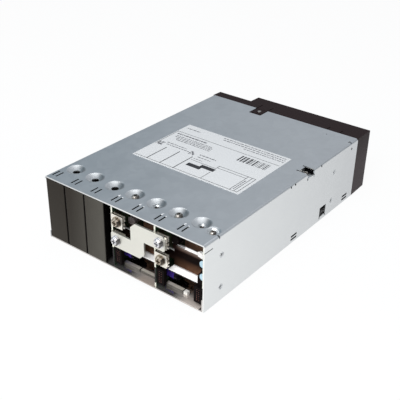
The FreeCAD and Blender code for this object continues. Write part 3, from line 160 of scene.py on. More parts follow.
class Finish(Graph):
    """A procedural material around one Principled shader, patterned in millimetres of the CAD frame."""

    def __init__(self, name, colour, roughness, metallic=0.0, specular=None):
        self.material = bpy.data.materials.new(name)
        self.material.use_nodes = True
        super().__init__(self.material.node_tree)
        self.shader = self.tree.nodes["Principled BSDF"]
        self.colour = (*colour, 1.0)
        self.place = None
        self.paint(roughness=roughness, metallic=metallic, colour=self.colour)
        if specular is not None:
            find(self.shader.inputs, "Specular IOR Level").default_value = specular

    def paint(self, colour=None, roughness=None, metallic=None, normal=None):
        inputs = {"Base Color": colour, "Roughness": roughness, "Metallic": metallic, "Normal": normal}
        for key, value in inputs.items():
            if value is not None:
                self.feed(find(self.shader.inputs, key), value)

    def position(self):
        """Object coordinates in millimetres."""
        if self.place is None:
            metres = self.add("ShaderNodeTexCoord", output="Object")
            self.place = self.add("ShaderNodeVectorMath", {"operation": "SCALE"},
                                  {0: metres, "Scale": 1 / MM})
        return self.place

    def axes(self):
        return self.split(self.position())

    def distance(self, place):
        return self.add("ShaderNodeVectorMath", {"operation": "DISTANCE"},
                        {0: self.position(), 1: place}, "Value")

    def looking(self, axis):
        """How far a face looks along an axis, from -1 to 1."""
        normal = self.add("ShaderNodeTexCoord", output="Normal")
        return self.add("ShaderNodeSeparateXYZ", sockets={0: normal}, output=axis)

    def facing(self, axis):
        return abs(self.looking(axis))

    def stretched(self, factors):
        """The position with a pattern made longer along each axis by its factor."""
        squeezed = tuple(1 / factor for factor in factors)
        return self.add("ShaderNodeVectorMath", {"operation": "MULTIPLY"}, {0: self.position(), 1: squeezed})

    def noise(self, period, detail=2.0, rough=0.5, stretch=(1, 1, 1)):
        """Noise from 0 to 1 whose grains are a period long, and longer along a stretched axis."""
        return self.add("ShaderNodeTexNoise", {}, {"Vector": self.stretched(stretch), "Scale": 1 / period,
                                                    "Detail": detail, "Roughness": rough}, "Fac")

    def cells(self, period, stretch):
        """A flat random shade for each cell, as in the spangle of galvanised sheet."""
        colour = self.add("ShaderNodeTexVoronoi", {}, {"Vector": self.stretched(stretch), "Scale": 1 / period},
                          "Color")
        return self.add("ShaderNodeSeparateColor", sockets={0: colour}, output=0)

    def shade(self, factor, spread):
        """The finish's own colour, made darker and lighter by a spread."""
        dark = [channel * (1 - spread) for channel in self.colour[:3]]
        light = [min(1.0, channel * (1 + spread)) for channel in self.colour[:3]]
        return self.mix(factor, dark, light)

    def bump(self, height, depth, normal=None):
        """A normal from a height of 0 to 1 that stands for a depth in millimetres."""
        sockets = {"Distance": depth * MM, "Height": height}
        if normal:
            sockets["Normal"] = normal
        return self.add("ShaderNodeBump", {}, sockets, "Normal")


# case shell: slits, fold, cut edges and pressed seats
# The second colour is painted shade in the guides, the lances and the small marks by the fold.
ZINC, SLIT_PAINTED_SHADE = (0.745, 0.765, 0.775), (0.03, 0.03, 0.034)
# Painted shade: the walls darken from the front to the rear.
WALL_FRONT, WALL_REAR = (0.775, 0.795, 0.80), (0.575, 0.595, 0.61)
GUIDE_ZONE, GUIDE_LEVELS, GUIDE_REACH = (FRONT + 5.0, FRONT + 15.0), (TOP - 6.0, TOP - 0.15), RIGHT - 2.0
LANCES, LANCE_REACH = ((FRONT + 130.0, FRONT + 140.0), (REAR - 20.5, REAR - 10.5)), RIGHT - 4.0
LANCE_LEVEL, LANCE_SPAN = 5.3, (0.7, 2.65)
EDGE_MARKS = ((RIGHT, -0.15, 61.5), (RIGHT, 6.9, 61.6), (RIGHT, 52.5, 61.6), (RIGHT, 111.2, 57.5),
              (87.7, 110.8, TOP))
MARK_RADIUS = 0.95
# The fold's band colour is a painted highlight.
FOLD_BAND, FOLD_LONG, FOLD_SKIN, FOLD_HIGHLIGHT = (RIGHT - 2.3, RIGHT - 0.8), 18.0, 0.05, (0.98, 0.99, 1.0)
CUT_SKIN, CUT_TALL, CUT_SIDE, CUT_CHANGE = 0.04, 0.8, 1.5, (-40.0, 0.0)
# The cut edges in front are painted highlights, fading to painted shade towards the left.
CUT_SHADE_LEFT, CUT_HIGHLIGHT_RIGHT = (0.70, 0.71, 0.72), (0.96, 0.96, 0.95)
SEAT_BACK, SEAT_DEEP, SEAT_FLOOR, SEAT_RIM = 25.7, 2.8, 3.9, 7.9
SEAT_WIDE, SEAT_SOFT, SEAT_SHARE = 8.6, 1.5, 0.89
# Painted shade in each seat's bowl, darker towards one side.
SHADE, SHADE_WAY, SHADE_SPAN = (0.20, 0.195, 0.19), (0.79, 0.62), (1.0, 6.0)
SHADE_LEAST, SHADE_MORE = 0.10, 0.50


def slits(finish, x, y, z):
    """1 in the card guides, the lances and the small marks by the fold, which get painted shade."""
    guides = finish.between(y, *GUIDE_ZONE) * finish.between(z, *GUIDE_LEVELS) * (abs(x) < GUIDE_REACH)
    lances = (finish.between(y, *LANCES[0]) | finish.between(y, *LANCES[1])) * (abs(x) > LANCE_REACH)
    slit_shade_and_highlight = guides | lances * finish.between(abs(z - LANCE_LEVEL), *LANCE_SPAN)
    for place in EDGE_MARKS:
        slit_shade_and_highlight = slit_shade_and_highlight | (finish.distance(place) < MARK_RADIUS)
    return slit_shade_and_highlight


def sheet_colour(finish, x, y, z, spangle):
    """Spangled top, painted shade that darkens the walls to the rear, a painted highlight along the fold, and
    painted highlights on the cut edges, fading to painted shade at the left.
    """
    wall = finish.mix(finish.ramp(y, FRONT, REAR), WALL_FRONT, WALL_REAR)
    sheet = finish.mix(finish.facing("X"), finish.shade(spangle, 0.06), wall)
    fold = (z > TOP - FOLD_SKIN) * finish.between(x, *FOLD_BAND) * (y < FRONT + FOLD_LONG)
    sheet = finish.mix(fold, sheet, FOLD_HIGHLIGHT)
    lower = finish.between(z, TOP - SHEET, TOP - CUT_TALL) * (abs(x) < RIGHT - CUT_SIDE)
    edge = finish.mix(finish.ramp(x, *CUT_CHANGE), CUT_SHADE_LEFT, CUT_HIGHLIGHT_RIGHT)
    return finish.mix((y < FRONT + CUT_SKIN) * (1 - lower), sheet, edge)


def pressed_seats(finish, x, y):
    """The height of the bowls round the screw seats, and the painted shade across each bowl, darker towards
    one side.
    """
    across = (x - FIRST_SLOT) % SLOT_PITCH - SLOT_PITCH / 2
    behind = y - (FRONT + SEAT_BACK)
    away = (across ** 2 + abs(behind) ** 2) ** 0.5
    slotted = x < FIRST_SLOT + SLOT_PITCH * SLOTS
    bowl = (finish.ramp(away, 0.0, SEAT_WIDE) ** 2 - 1) * SEAT_SHARE
    height = (bowl - finish.ramp(away, SEAT_FLOOR, SEAT_RIM) + 1) * slotted
    aside = across * SHADE_WAY[0] + behind * SHADE_WAY[1]
    painted_shade = SHADE_LEAST + SHADE_MORE * finish.ramp(aside, *SHADE_SPAN)
    return height, finish.ramp(away, SEAT_WIDE, SEAT_WIDE - SEAT_SOFT) * painted_shade * slotted


def zinc_sheet():
    """Galvanised sheet, with painted highlights on the cut edges in front and painted shade in the cut slits.
    """
    finish = Finish("zinc_sheet", ZINC, 0.34, 1.0)
    x, y, z = finish.axes()
    spangle = finish.cells(5.0, (1.0, 1.3, 1.0)) * 0.3 + finish.noise(30.0, detail=3.0) * 0.7
    rolled = finish.noise(0.5, rough=0.6, stretch=(1.0, 40.0, 1.0))
    slit_shade_and_highlight = slits(finish, x, y, z)
    height, painted_shade = pressed_seats(finish, x, y)
    sheet = finish.mix(painted_shade, sheet_colour(finish, x, y, z, spangle), SHADE)
    dents = finish.bump(finish.noise(60.0) * 0.9 + rolled * 0.1, 0.10)
    # Painted shade in the slits, the lances and the marks by the fold.
    finish.paint(colour=finish.mix(slit_shade_and_highlight, sheet, SLIT_PAINTED_SHADE),
                 roughness=0.29 + 0.10 * spangle + 0.06 * rolled + 0.2 * slit_shade_and_highlight,
                 normal=finish.bump(height, SEAT_DEEP, normal=dents))
    return finish.material


# base plate, the torn ends' painted highlight and blank panels
# The first two colours are painted light on the pale patch by the front edge; the third is the polished plate.
PLATE_LIT, PLATE_LIT_BRIGHT, PLATE_POLISHED = (0.40, 0.335, 0.29), (0.64, 0.57, 0.52), (0.58, 0.55, 0.53)
LIT_SHARE, LIT_FADE, OPEN_FADE = (0.40, 0.70), (FRONT + 18.0, FRONT + 4.0), (FRONT + 12.0, FRONT + 9.0)
BRIGHT_ACROSS, BRIGHT_FADE = (34.0, 44.0), (FRONT + 10.0, FRONT + 1.0)
PLATE_MIDDLE, PLATE_UNDER = 0.6, 0.2
# Painted light: the panels go from the dark colour at the left to the grey one at the right.
PANEL, PANEL_DARK, PANEL_GREY = (0.085, 0.079, 0.072), (0.020, 0.014, 0.008), (0.108, 0.101, 0.085)
# The second colour is painted shade on the panels' side faces.
PANEL_SPECK, PANEL_SIDE_SHADE = (0.036, 0.033, 0.029), (0.004, 0.003, 0.003)
PANEL_CHANGE = (LEFT + 30.0, LEFT + 66.0)


def base_sheet():
    """Base plate, polished under the modules; painted light makes a paler, matt patch to the right of each
    module by the front edge, brighter still towards the right.
    """
    finish = Finish("base_sheet", PLATE_LIT, 0.16, 1.0)
    x, y, z = finish.axes()
    smear = finish.noise(14.0, detail=3.0, rough=0.55)
    first = corners("module_a_board")[0].x
    bay = (x - first) / BAY % 1.0
    # Painted light: a paler, matt patch to the right of each bay, fading to the rear.
    lit_patch = finish.ramp(bay, *LIT_SHARE) * finish.ramp(y, *LIT_FADE) * (x > first) * (z > PLATE_MIDDLE)
    open_part = finish.ramp(y, *OPEN_FADE)
    # Painted light: brighter still towards the right by the front edge.
    lit_brighter = finish.ramp(x, *BRIGHT_ACROSS) * finish.ramp(y, *BRIGHT_FADE)
    lit_colour = finish.mix(lit_brighter, finish.shade(smear, 0.15), PLATE_LIT_BRIGHT)
    under = finish.ramp(z, PLATE_MIDDLE, PLATE_UNDER)
    finish.paint(colour=finish.mix(lit_patch, PLATE_POLISHED, lit_colour),
                 metallic=1 - 0.09 * open_part - 0.76 * lit_patch,
                 roughness=0.05 + 0.06 * smear + 0.3 * lit_patch + 0.25 * under)
    return finish.material


def torn_end_highlight():
    """Near-white torn ends: a painted highlight on the bent tongues."""
    finish = Finish("torn_end_highlight", (0.93, 0.94, 0.95), 0.35)
    tear = finish.noise(0.4)
    finish.paint(colour=finish.shade(tear, 0.08), roughness=0.24 + 0.16 * tear)
    return finish.material


def panel_paint():
    """Dark brushed panels, with painted light that makes them greyer towards the open slots and lower down,
    and painted shade on their side faces.
    """
    finish = Finish("panel_paint", PANEL, 0.5, 0.55, specular=0.2)
    x, _, z = finish.axes()
    grain = finish.noise(0.45, rough=0.6, stretch=(1.0, 1.0, 30.0))
    speck = finish.noise(0.35)
    # Painted light: lighter towards the open slots and lower down.
    lift = finish.ramp(x, *PANEL_CHANGE) * 0.85 + finish.ramp(z, TOP, 0.0) * 0.15
    colour = finish.mix(lift, PANEL_DARK, PANEL_GREY)
    colour = finish.mix(grain * 0.35 + speck * 0.15, colour, PANEL_SPECK)
    # Painted shade on the faces that look to the sides.
    finish.paint(colour=finish.mix(finish.facing("X"), colour, PANEL_SIDE_SHADE),
                 roughness=0.42 + 0.14 * grain, normal=finish.bump(speck, 0.02))
    return finish.material


# finishes of plastics
COVER_TOP, COVER_HIGH, COVER_LOW = (0.018, 0.0095, 0.0092), (0.020, 0.012, 0.0125), (0.050, 0.037, 0.039)
COVER_CHANGE = (60.0, 34.0)
VIOLET, SEAL = (0.055, 0.028, 0.24), (0.010, 0.008, 0.012)
SEAL_LONG, REAR_CAN = 3.2, (5.0, 8.5)


def moulded(name, colour, roughness, grain, depth, spread=0.15, specular=0.5):
    """Textured moulding: a fine spark-eroded grain over slow changes of gloss."""
    finish = Finish(name, colour, roughness, specular=specular)
    fine = finish.noise(grain, detail=3.0, rough=0.6)
    slow = finish.noise(40.0)
    finish.paint(colour=finish.shade(slow * 0.6 + fine * 0.4, spread),
                 roughness=roughness - 0.06 + 0.12 * slow, normal=finish.bump(fine, depth))
    return finish.material


def cover_plastic():
    """Brown cover, paler down its side faces."""
    finish = Finish("cover_plastic", COVER_TOP, 0.55, specular=0.12)
    _, _, z = finish.axes()
    grain = finish.noise(0.5, detail=3.0, rough=0.6)
    slow = finish.noise(40.0)
    side = finish.mix(finish.ramp(z, *COVER_CHANGE), COVER_HIGH, COVER_LOW)
    top = finish.shade(slow * 0.6 + grain * 0.4, 0.15)
    finish.paint(colour=finish.mix(finish.facing("X") > 0.5, top, side), roughness=0.49 + 0.12 * slow,
                 normal=finish.bump(grain, 0.03))
    return finish.material


def sleeve(name, colour, crease):
    """Shrink sleeve of a capacitor with fine creases."""
    finish = Finish(name, colour, 0.28)
    creases = finish.noise(2.2)
    finish.paint(colour=finish.mix(creases, colour, crease), roughness=0.2 + 0.14 * creases,
                 normal=finish.bump(creases, 0.03))
    return finish.material


def violet_sleeve():
    """Violet sleeve on the front cans, with a dark seal at the right end; the rear cans are dark."""
    low, high = corners("module_a_capacitors")
    finish = Finish("violet_sleeve", VIOLET, 0.22)
    x, y, _ = finish.axes()
    creases = finish.noise(2.2)
    seal = (x - low.x) % BAY > high.x - low.x - SEAL_LONG
    rear = finish.ramp(y, low.y + REAR_CAN[0], low.y + REAR_CAN[1])
    finish.paint(colour=finish.mix(seal | rear, finish.shade(creases, 0.4), SEAL),
                 roughness=0.14 + 0.12 * creases)
    return finish.material


# finishes of bare metals
# The second colour is painted shade on the faces of screws that look to the right.
NICKEL, RIGHT_SIDE_SHADE, SHADE_TURN = (0.76, 0.765, 0.79), (0.07, 0.06, 0.055), (0.05, 0.45)
WARM_NICKEL, SCREW_SHADE = (0.66, 0.58, 0.47), (0.05, 0.042, 0.036)
TIN, TIN_SHADE, TIN_DEPTH = (0.80, 0.765, 0.69), (0.05, 0.045, 0.025), (FRONT + 4.2, FRONT + 4.8)
# Painted reflection: the pale top colour, and a darker one towards the left.
CORE_TOP, CORE_LEFT, CORE_CHANGE = (0.56, 0.52, 0.455), (0.20, 0.19, 0.20), (-2.0, 16.0)
CORE_SIDES, CORE_ENDS = (0.13, 0.12, 0.105), (0.008, 0.008, 0.008)
BRIGHT_END, BRIGHT_END_LONG = (0.95, 0.92, 0.87), 4.2


def plated(name, colour, roughness, blotch, period, metallic=1.0):
    """Tin, nickel or zinc plating with cloudy patches and fine scratches."""
    finish = Finish(name, colour, roughness, metallic)
    cloud = finish.noise(period, detail=3.0)
    scratch = finish.noise(0.25, rough=0.6, stretch=(1.0, 1.0, 12.0))
    finish.paint(colour=finish.shade(cloud, blotch),
                 roughness=roughness - 0.05 + 0.08 * cloud + 0.05 * scratch,
                 normal=finish.bump(scratch, 0.006))
    return finish.material


def polished(name, colour, roughness, shadow):
    """Bright plating, smooth to the eye, with painted shade on the faces that look to the right."""
    finish = Finish(name, colour, roughness, 1.0)
    cloud = finish.noise(5.0)
    painted_shade = finish.ramp(finish.looking("X"), *SHADE_TURN) * shadow
    finish.paint(colour=finish.mix(painted_shade, finish.shade(cloud, 0.06), RIGHT_SIDE_SHADE),
                 roughness=roughness - 0.03 + 0.06 * cloud)
    return finish.material


def terminal_screw():
    """Screws of the terminals, with painted shade on the faces that look to the right; the two outside the
    link are warmer and get more of the painted shade.
    """
    low, high = corners("terminal_screws")
    middle = (low + high) / 2
    finish = Finish("terminal_screw", NICKEL, 0.17, 1.0)
    x, _, z = finish.axes()
    cloud = finish.noise(5.0)
    free = abs((x > middle.x) - (z > middle.z))
    # Painted shade on the faces that look to the right.
    turned = finish.ramp(finish.looking("X"), SHADE_TURN[0] - 0.25 * free, SHADE_TURN[1] - 0.15 * free)
    plating = finish.mix(free, finish.shade(cloud, 0.06), WARM_NICKEL)
    finish.paint(colour=finish.mix(turned * (0.85 + 0.1 * free), plating, SCREW_SHADE),
                 roughness=0.14 + 0.06 * cloud)
    return finish.material


def terminal_tin():
    """Tinned terminals, bright in front and shaded on top and behind."""
    finish = Finish("terminal_tin", TIN, 0.3, 0.75)
    _, y, _ = finish.axes()
    cloud = finish.noise(3.0, detail=3.0)
    shaded = finish.facing("Z") * 0.92 | finish.ramp(y, *TIN_DEPTH)
    finish.paint(colour=finish.mix(shaded, finish.shade(cloud, 0.08), TIN_SHADE),
                 roughness=0.26 + 0.1 * cloud)
    return finish.material


def choke_bar():
    """Core bar with dark sides and near-black ends; a painted reflection makes its top pale, less so towards
    the left, and the second bar has a bright right end.
    """
    finish = Finish("choke_bar", CORE_TOP, 0.3, 0.1)
    x, _, _ = finish.axes()
    cloud = finish.noise(5.0, detail=3.0)
    # Painted reflection on the top, less of it towards the left.
    top_reflection = finish.mix(finish.ramp(x, *CORE_CHANGE), CORE_LEFT, finish.shade(cloud, 0.12))
    bar = finish.mix(finish.facing("Z") > 0.5, CORE_SIDES, top_reflection)
    bar = finish.mix(finish.facing("X") > 0.5, bar, CORE_ENDS)
    end = x > corners("module_b_choke")[1].x - BRIGHT_END_LONG
    finish.paint(colour=finish.mix(end, bar, BRIGHT_END), roughness=0.24 + 0.12 * cloud)
    return finish.material


# heat sinks: lengths from the low corner, and from the right end, of each sink
LEDGE_WIDE, LEDGE_TOP, LEDGE_ROLL, LEDGE_RISE = 33.8, 2.0, 2.7, 3.1
BROW_WIDE, BROW_TOP, BROW_BACK, BROW_ROLL, BROW_RISE = 21.8, 22.7, 5.7, 1.2, 1.6
LINE_WIDE, LINE_TALL, LINE_RISE, LINE_THICK = 35.4, 0.4, 0.8, 0.3
BACK_FROM, FOOT_TALL, BROW_LEVEL, BROW_DEPTH = 6.5, 1.1, 18.0, (3.0, 9.5)
GLOW_SPAN, LIP_SPAN, LIP_CHANGE, FLANGE_CHANGE = (12.0, 2.0), (19.5, 22.6), (0.08, 0.3), (0.5, 0.1)
# Painted shade on the back wall, and a painted glow of light low down on it towards the right.
SINK_BRIGHT, BACK_DARK, BACK_GLOW = (0.92, 0.90, 0.88), (0.005, 0.002, 0.0015), (0.36, 0.18, 0.105)
# The lip: painted shade, paler towards its top as painted light, and darker at its left end as painted shade.
LIP_DARK, LIP_PALE, LIP_LEFT = (0.03, 0.017, 0.013), (0.19, 0.135, 0.11), (0.012, 0.006, 0.005)
# Painted shade at the left end of the brow's top and along the foot.
FLANGE_LEFT, FOOT_DARK = (0.02, 0.01, 0.008), (0.02, 0.013, 0.012)
BEAD, BEAD_SHADE, BEAD_SUNK = (0.93, 0.905, 0.885), (0.014, 0.008, 0.007), 1.0


def sink_plate():
    """Bent sink with bright flanges and a brown back wall, darkened by painted shade, with a painted glow of
    light near the ledge, stronger towards the right; painted shade also darkens the left ends of the brow and
    its lip, and the foot, and painted light makes the lip paler towards its top.
    """
    low, high = corners("module_b_heatsink")
    wide = high.x - low.x
    finish = Finish("sink_plate", SINK_BRIGHT, 0.4, specular=0.03)
    x, y, z = finish.axes()
    cloud = finish.noise(6.0, detail=3.0)
    upright = finish.facing("Y") > 0.5
    along = finish.ramp((x - low.x) % BAY, wide - LEDGE_WIDE, wide)
    # Painted glow of light low on the back wall, stronger to the right.
    glow = finish.ramp(z, low.z + GLOW_SPAN[0], low.z + GLOW_SPAN[1]) * (0.1 + 0.9 * along)
    brown = finish.mix(glow * (0.3 + 1.0 * cloud), BACK_DARK, BACK_GLOW)
    brow = finish.between(y, low.y + BROW_DEPTH[0], low.y + BROW_DEPTH[1]) * (z > low.z + BROW_LEVEL)
    # Painted light: the lip paler towards its top.
    lit = finish.ramp(z, low.z + LIP_SPAN[0], low.z + LIP_SPAN[1]) * (0.4 + 0.8 * cloud)
    lip = finish.mix(finish.ramp(along, *LIP_CHANGE), LIP_LEFT, finish.mix(lit, LIP_DARK, LIP_PALE))
    flange = finish.mix(brow * finish.ramp(along, *FLANGE_CHANGE), finish.shade(cloud, 0.04), FLANGE_LEFT)
    flange = finish.mix(brow * upright * (z < low.z + BROW_TOP), flange, lip)
    flange = finish.mix((1 - brow) * (z < low.z + FOOT_TALL), flange, FOOT_DARK)
    finish.paint(colour=finish.mix(upright * (y > low.y + BACK_FROM), flange, brown),
                 roughness=0.34 + 0.12 * cloud)
    return finish.material


def sink_bead():
    """Bright rolled edges; on the left part of the upper one, painted shade covers all but the crest."""
    low, high = corners("module_b_heatsink")
    finish = Finish("rolled_edge", BEAD, 0.36, 0.35)
    x, _, z = finish.axes()
    cloud = finish.noise(3.0)
    left = (x - low.x) % BAY < high.x - low.x - BROW_WIDE
    crown = low.z + BROW_TOP
    # Painted shade below the crest on the left part of the upper edge.
    under = left * finish.between(z, crown - BEAD_SUNK, crown + LINE_RISE - LINE_TALL)
    finish.paint(colour=finish.mix(under, finish.shade(cloud, 0.05), BEAD_SHADE),
                 roughness=0.32 + 0.08 * cloud)
    return finish.material


# boards, cores, windings and the label
MASK, MASK_DARK, MASK_PALE = (0.014, 0.040, 0.018), (0.012, 0.030, 0.013), (0.020, 0.048, 0.020)
GLASS_FIBRE, EDGE_DARK, BARE_BOARD = (0.78, 0.77, 0.66), (0.006, 0.005, 0.005), (0.22, 0.22, 0.22)
TRACK_EDGE, HEADER_SPAN, EDGE_DARK_DEPTH = (0.48, 0.53), (4.8, 20.4), FRONT + 5.0
BARE_MARGIN, MARGIN_BACK = RIGHT - 24.0, FRONT + 40.0


def board(name, axis, cut_edge=GLASS_FIBRE):
    """Dark green solder mask on the faces and glass fibre on the cut edges, which are darker near the front at
    the headers' height and lower down on the left.
    """
    finish = Finish(name, MASK, 0.35)
    x, y, z = finish.axes()
    tracks = finish.ramp(finish.noise(2.4, detail=1.0, rough=0.4, stretch=(1.0, 3.0, 1.0)), *TRACK_EDGE)
    edge = finish.facing(axis) < 0.5
    edge_darkened = finish.between(z, *HEADER_SPAN) | (z < HEADER_SPAN[1]) * (x < 0.0)
    fibre = finish.mix(edge_darkened * (y < EDGE_DARK_DEPTH), cut_edge, EDGE_DARK)
    margin = (abs(x) > BARE_MARGIN) * (y > MARGIN_BACK)
    faces = finish.mix(margin, finish.mix(tracks, MASK_DARK, MASK_PALE), BARE_BOARD)
    finish.paint(colour=finish.mix(edge, faces, fibre), roughness=0.3 + 0.35 * edge + 0.06 * tracks,
                 normal=finish.bump(tracks, 0.03))
    return finish.material


def core_block(name, colour):
    """Gritty sintered ferrite."""
    finish = Finish(name, colour, 0.5)
    grit = finish.noise(0.5, detail=3.0)
    finish.paint(colour=finish.shade(grit, 0.25), roughness=0.42 + 0.2 * grit,
                 normal=finish.bump(grit, 0.03))
    return finish.material


def taped_winding():
    """Ferrite core with a winding under brown tape."""
    finish = Finish("taped_winding", (0.24, 0.13, 0.08), 0.36)
    layers = finish.noise(1.2, stretch=(8.0, 8.0, 1.0))
    finish.paint(colour=finish.shade(layers, 0.3), roughness=0.32 + 0.14 * layers,
                 normal=finish.bump(layers, 0.05))
    return finish.material


def wound_core():
    """Enamelled wire in close turns."""
    finish = Finish("wound_core", (0.42, 0.13, 0.045), 0.3, 0.7)
    turns = finish.add("ShaderNodeTexWave", {"wave_type": "BANDS", "bands_direction": "DIAGONAL"},
                       {"Vector": finish.position(), "Scale": 0.35, "Distortion": 0.6}, "Fac")
    finish.paint(colour=finish.shade(turns, 0.35), roughness=0.25 + 0.15 * turns,
                 normal=finish.bump(turns, 0.25))
    return finish.material


def label_film():
    """Matt white film."""
    finish = Finish("label_film", (0.675, 0.68, 0.68), 0.42)
    fibre = finish.noise(1.2, detail=3.0)
    finish.paint(colour=finish.shade(fibre, 0.02), roughness=0.36 + 0.1 * fibre)
    return finish.material


def ink(name, colour):
    """Print that covers a little unevenly."""
    finish = Finish(name, colour, 0.5)
    patch = finish.noise(0.8)
    finish.paint(colour=finish.shade(patch, 0.2), roughness=0.45 + 0.15 * patch)
    return finish.material


FINISHES = {
    "zinc": zinc_sheet(),
    "base": base_sheet(),
    "slit_shade_and_highlight": torn_end_highlight(),
    "panel": panel_paint(),
    "cover": cover_plastic(),
    "fan": moulded("fan_plastic", (0.014, 0.014, 0.015), 0.42, 0.8, 0.02),
    "socket": moulded("socket_plastic", (0.007, 0.005, 0.005), 0.6, 0.4, 0.015, specular=0.03),
    "upright": board("upright_board", "X"),
    "flat": board("flat_board", "Z", (0.040, 0.040, 0.040)),
    "plane": board("plane_board", "Y"),
    "tin": terminal_tin(),
    "link": plated("link_plate", (0.745, 0.735, 0.67), 0.38, 0.03, 8.0, 0.8),
    "screw": polished("screw_nickel", NICKEL, 0.2, 0.35),
    "terminal_screw": terminal_screw(),
    "nut": plated("nut_zinc", (0.58, 0.59, 0.59), 0.5, 0.55, 1.6, 0.0),
    "dark_screw": polished("screw_zinc", (0.50, 0.47, 0.43), 0.2, 0.8),
    "pin": plated("dull_pin", (0.30, 0.14, 0.12), 0.4, 0.2, 1.0, 0.3),
    "bead": sink_bead(),
    "bracket": plated("bracket_zinc", (0.72, 0.73, 0.74), 0.3, 0.08, 4.0),
    "sink": sink_plate(),
    "fins": plated("fin_aluminium", (0.74, 0.75, 0.76), 0.34, 0.06, 5.0),
    "violet": violet_sleeve(),
    "black_can": sleeve("black_sleeve", (0.016, 0.016, 0.019), (0.05, 0.05, 0.06)),
    "grey_can": sleeve("grey_sleeve", (0.058, 0.048, 0.046), (0.16, 0.13, 0.128)),
    "ferrite": core_block("ferrite_core", (0.07, 0.068, 0.066)),
    "tape": taped_winding(),
    "bar": choke_bar(),
    "winding": wound_core(),
    "box_cap": moulded("box_capacitor", (0.46, 0.38, 0.10), 0.4, 0.9, 0.02),
    "disc": moulded("disc_epoxy", (0.42, 0.58, 0.67), 0.3, 1.4, 0.03, spread=0.1),
    "film": moulded("insulating_film", (0.55, 0.53, 0.46), 0.35, 3.0, 0.02),
    "label": label_film(),
    "ink": ink("label_ink", (0.022, 0.022, 0.026)),
    "grey_ink": ink("label_grey_ink", (0.16, 0.16, 0.17)),
}

NODE_FINISHES = {
    "zinc": ["case_shell"],
    "base": ["base_tray"],
    "panel": ["blank_panel_1", "blank_panel_2", "blank_panel_3"],
    "cover": ["rear_cover"],
    "fan": ["fan_frame_left", "fan_frame_right", "fan_rotor_left", "fan_rotor_right"],
    "socket": ["module_a_header", "module_b_header", "signal_header", "backplane_sockets", "mains_inlet",
               "module_b_filter_can"],
    "upright": ["module_a_board", "module_b_board", "signal_board"],
    "flat": ["main_board"],
    "plane": ["backplane_board"],
    "tin": ["module_a_upper_terminal", "module_a_lower_terminal", "module_b_upper_terminal",
            "module_b_lower_terminal", "inlet_prongs"],
    "link": ["link_bar"],
    "terminal_screw": ["terminal_screws"],
    "screw": ["board_screws", "fan_screws", "inlet_screws", "board_spacers"],
    "nut": ["clinch_nuts"],
    "dark_screw": ["module_screws", "case_screws"],
    "bracket": ["module_a_bracket", "module_b_bracket", "signal_bracket"],
    "sink": ["module_a_heatsink", "module_b_heatsink"],
    "fins": ["primary_heatsink"],
    "violet": ["module_a_capacitors", "module_b_capacitors"],
    "black_can": ["bulk_capacitors", "power_transistors", "inrush_relay"],
    "grey_can": ["module_a_filter_can"],
    "ferrite": ["standby_transformer"],
    "tape": ["module_a_transformer", "module_b_transformer"],
    "bar": ["module_a_choke", "module_b_choke"],
    "winding": ["boost_choke", "line_choke"],
    "box_cap": ["line_capacitors", "line_fuse"],
    "disc": ["signal_capacitors"],
    "film": ["insulator_sheet"],
    "label": ["rating_label"],
}

for finish_name, members in NODE_FINISHES.items():
    for member in members:
        for slot in NODES[member].material_slots:
            slot.material = FINISHES[finish_name]


# new pieces
def add_block(mesh, low, high):
    """A box between two corners given in millimetres."""
    low, high = Vector(low) * MM, Vector(high) * MM
    size = Matrix.Diagonal((*(high - low), 1.0))
    return bmesh.ops.create_cube(mesh, size=1.0, matrix=Matrix.Translation((low + high) / 2) @ size)["verts"]


def add_prism(mesh, near, far):
    """A bar extruded from its near outline to a far one of as many points."""
    places = [Vector(point) * MM for point in near]
    end = mesh.faces.new([mesh.verts.new(place) for place in places])
    for grown in bmesh.ops.extrude_face_region(mesh, geom=[end])["geom"]:
        if isinstance(grown, bmesh.types.BMVert):
            grown.co = Vector(far[places.index(grown.co)]) * MM


def piece(name, mesh, finish_name, body="supply"):
    """Closes a bmesh into an object at the origin that rides on a body."""
    data = bpy.data.meshes.new(name)
    mesh.to_mesh(data)
    mesh.free()
    data.materials.append(FINISHES[finish_name])
    item = bpy.data.objects.new(name, data)
    bpy.context.scene.collection.objects.link(item)
    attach(item, body)


# label print, in millimetres from the label's front left corner
RULE_WIDE = 0.55
BOLD_RULE_WIDE = 0.95
PRINT_RISE = 0.02
FRAME_RULES = [((1.2, 2.4), (117.8, 2.4)), ((1.2, 31.0), (1.2, 66.5)), ((1.2, 66.5), (119.4, 66.5))]
BOLD_RULES = [((15.8, 2.4), (15.8, 30.5)), ((31.4, 2.4), (31.4, 31.0)), ((47.2, 2.4), (47.2, 30.5))]
FIELD_RULES = [((50.0, 25.6), (78.2, 25.6)), ((78.2, 25.6), (78.2, 31.4)), ((78.2, 31.4), (117.8, 31.4)),
               ((78.2, 27.6), (110.0, 27.6)), ((110.0, 2.4), (110.0, 31.4)), ((114.4, 2.4), (114.4, 31.4)),
               ((117.8, 2.4), (117.8, 31.4)), ((78.4, 2.4), (78.4, 17.0))]
STEPPED_BAR = [((52.0, 14.2), (67.4, 19.6)), ((64.2, 18.6), (79.8, 23.8))]
GREY_FIELDS = [((1.9, 31.6), (8.4, 38.6)), ((39.4, 33.0), (45.6, 39.8))]
FIELD_CELLS, FIELD_FILLED = 5, 0.6
CODE_BARS = ((82.5, 51.0), (113.0, 62.5))
CODE_WIDTHS, CODE_GAPS = (0.5, 0.5, 1.0, 1.6), (0.5, 1.0, 1.5)
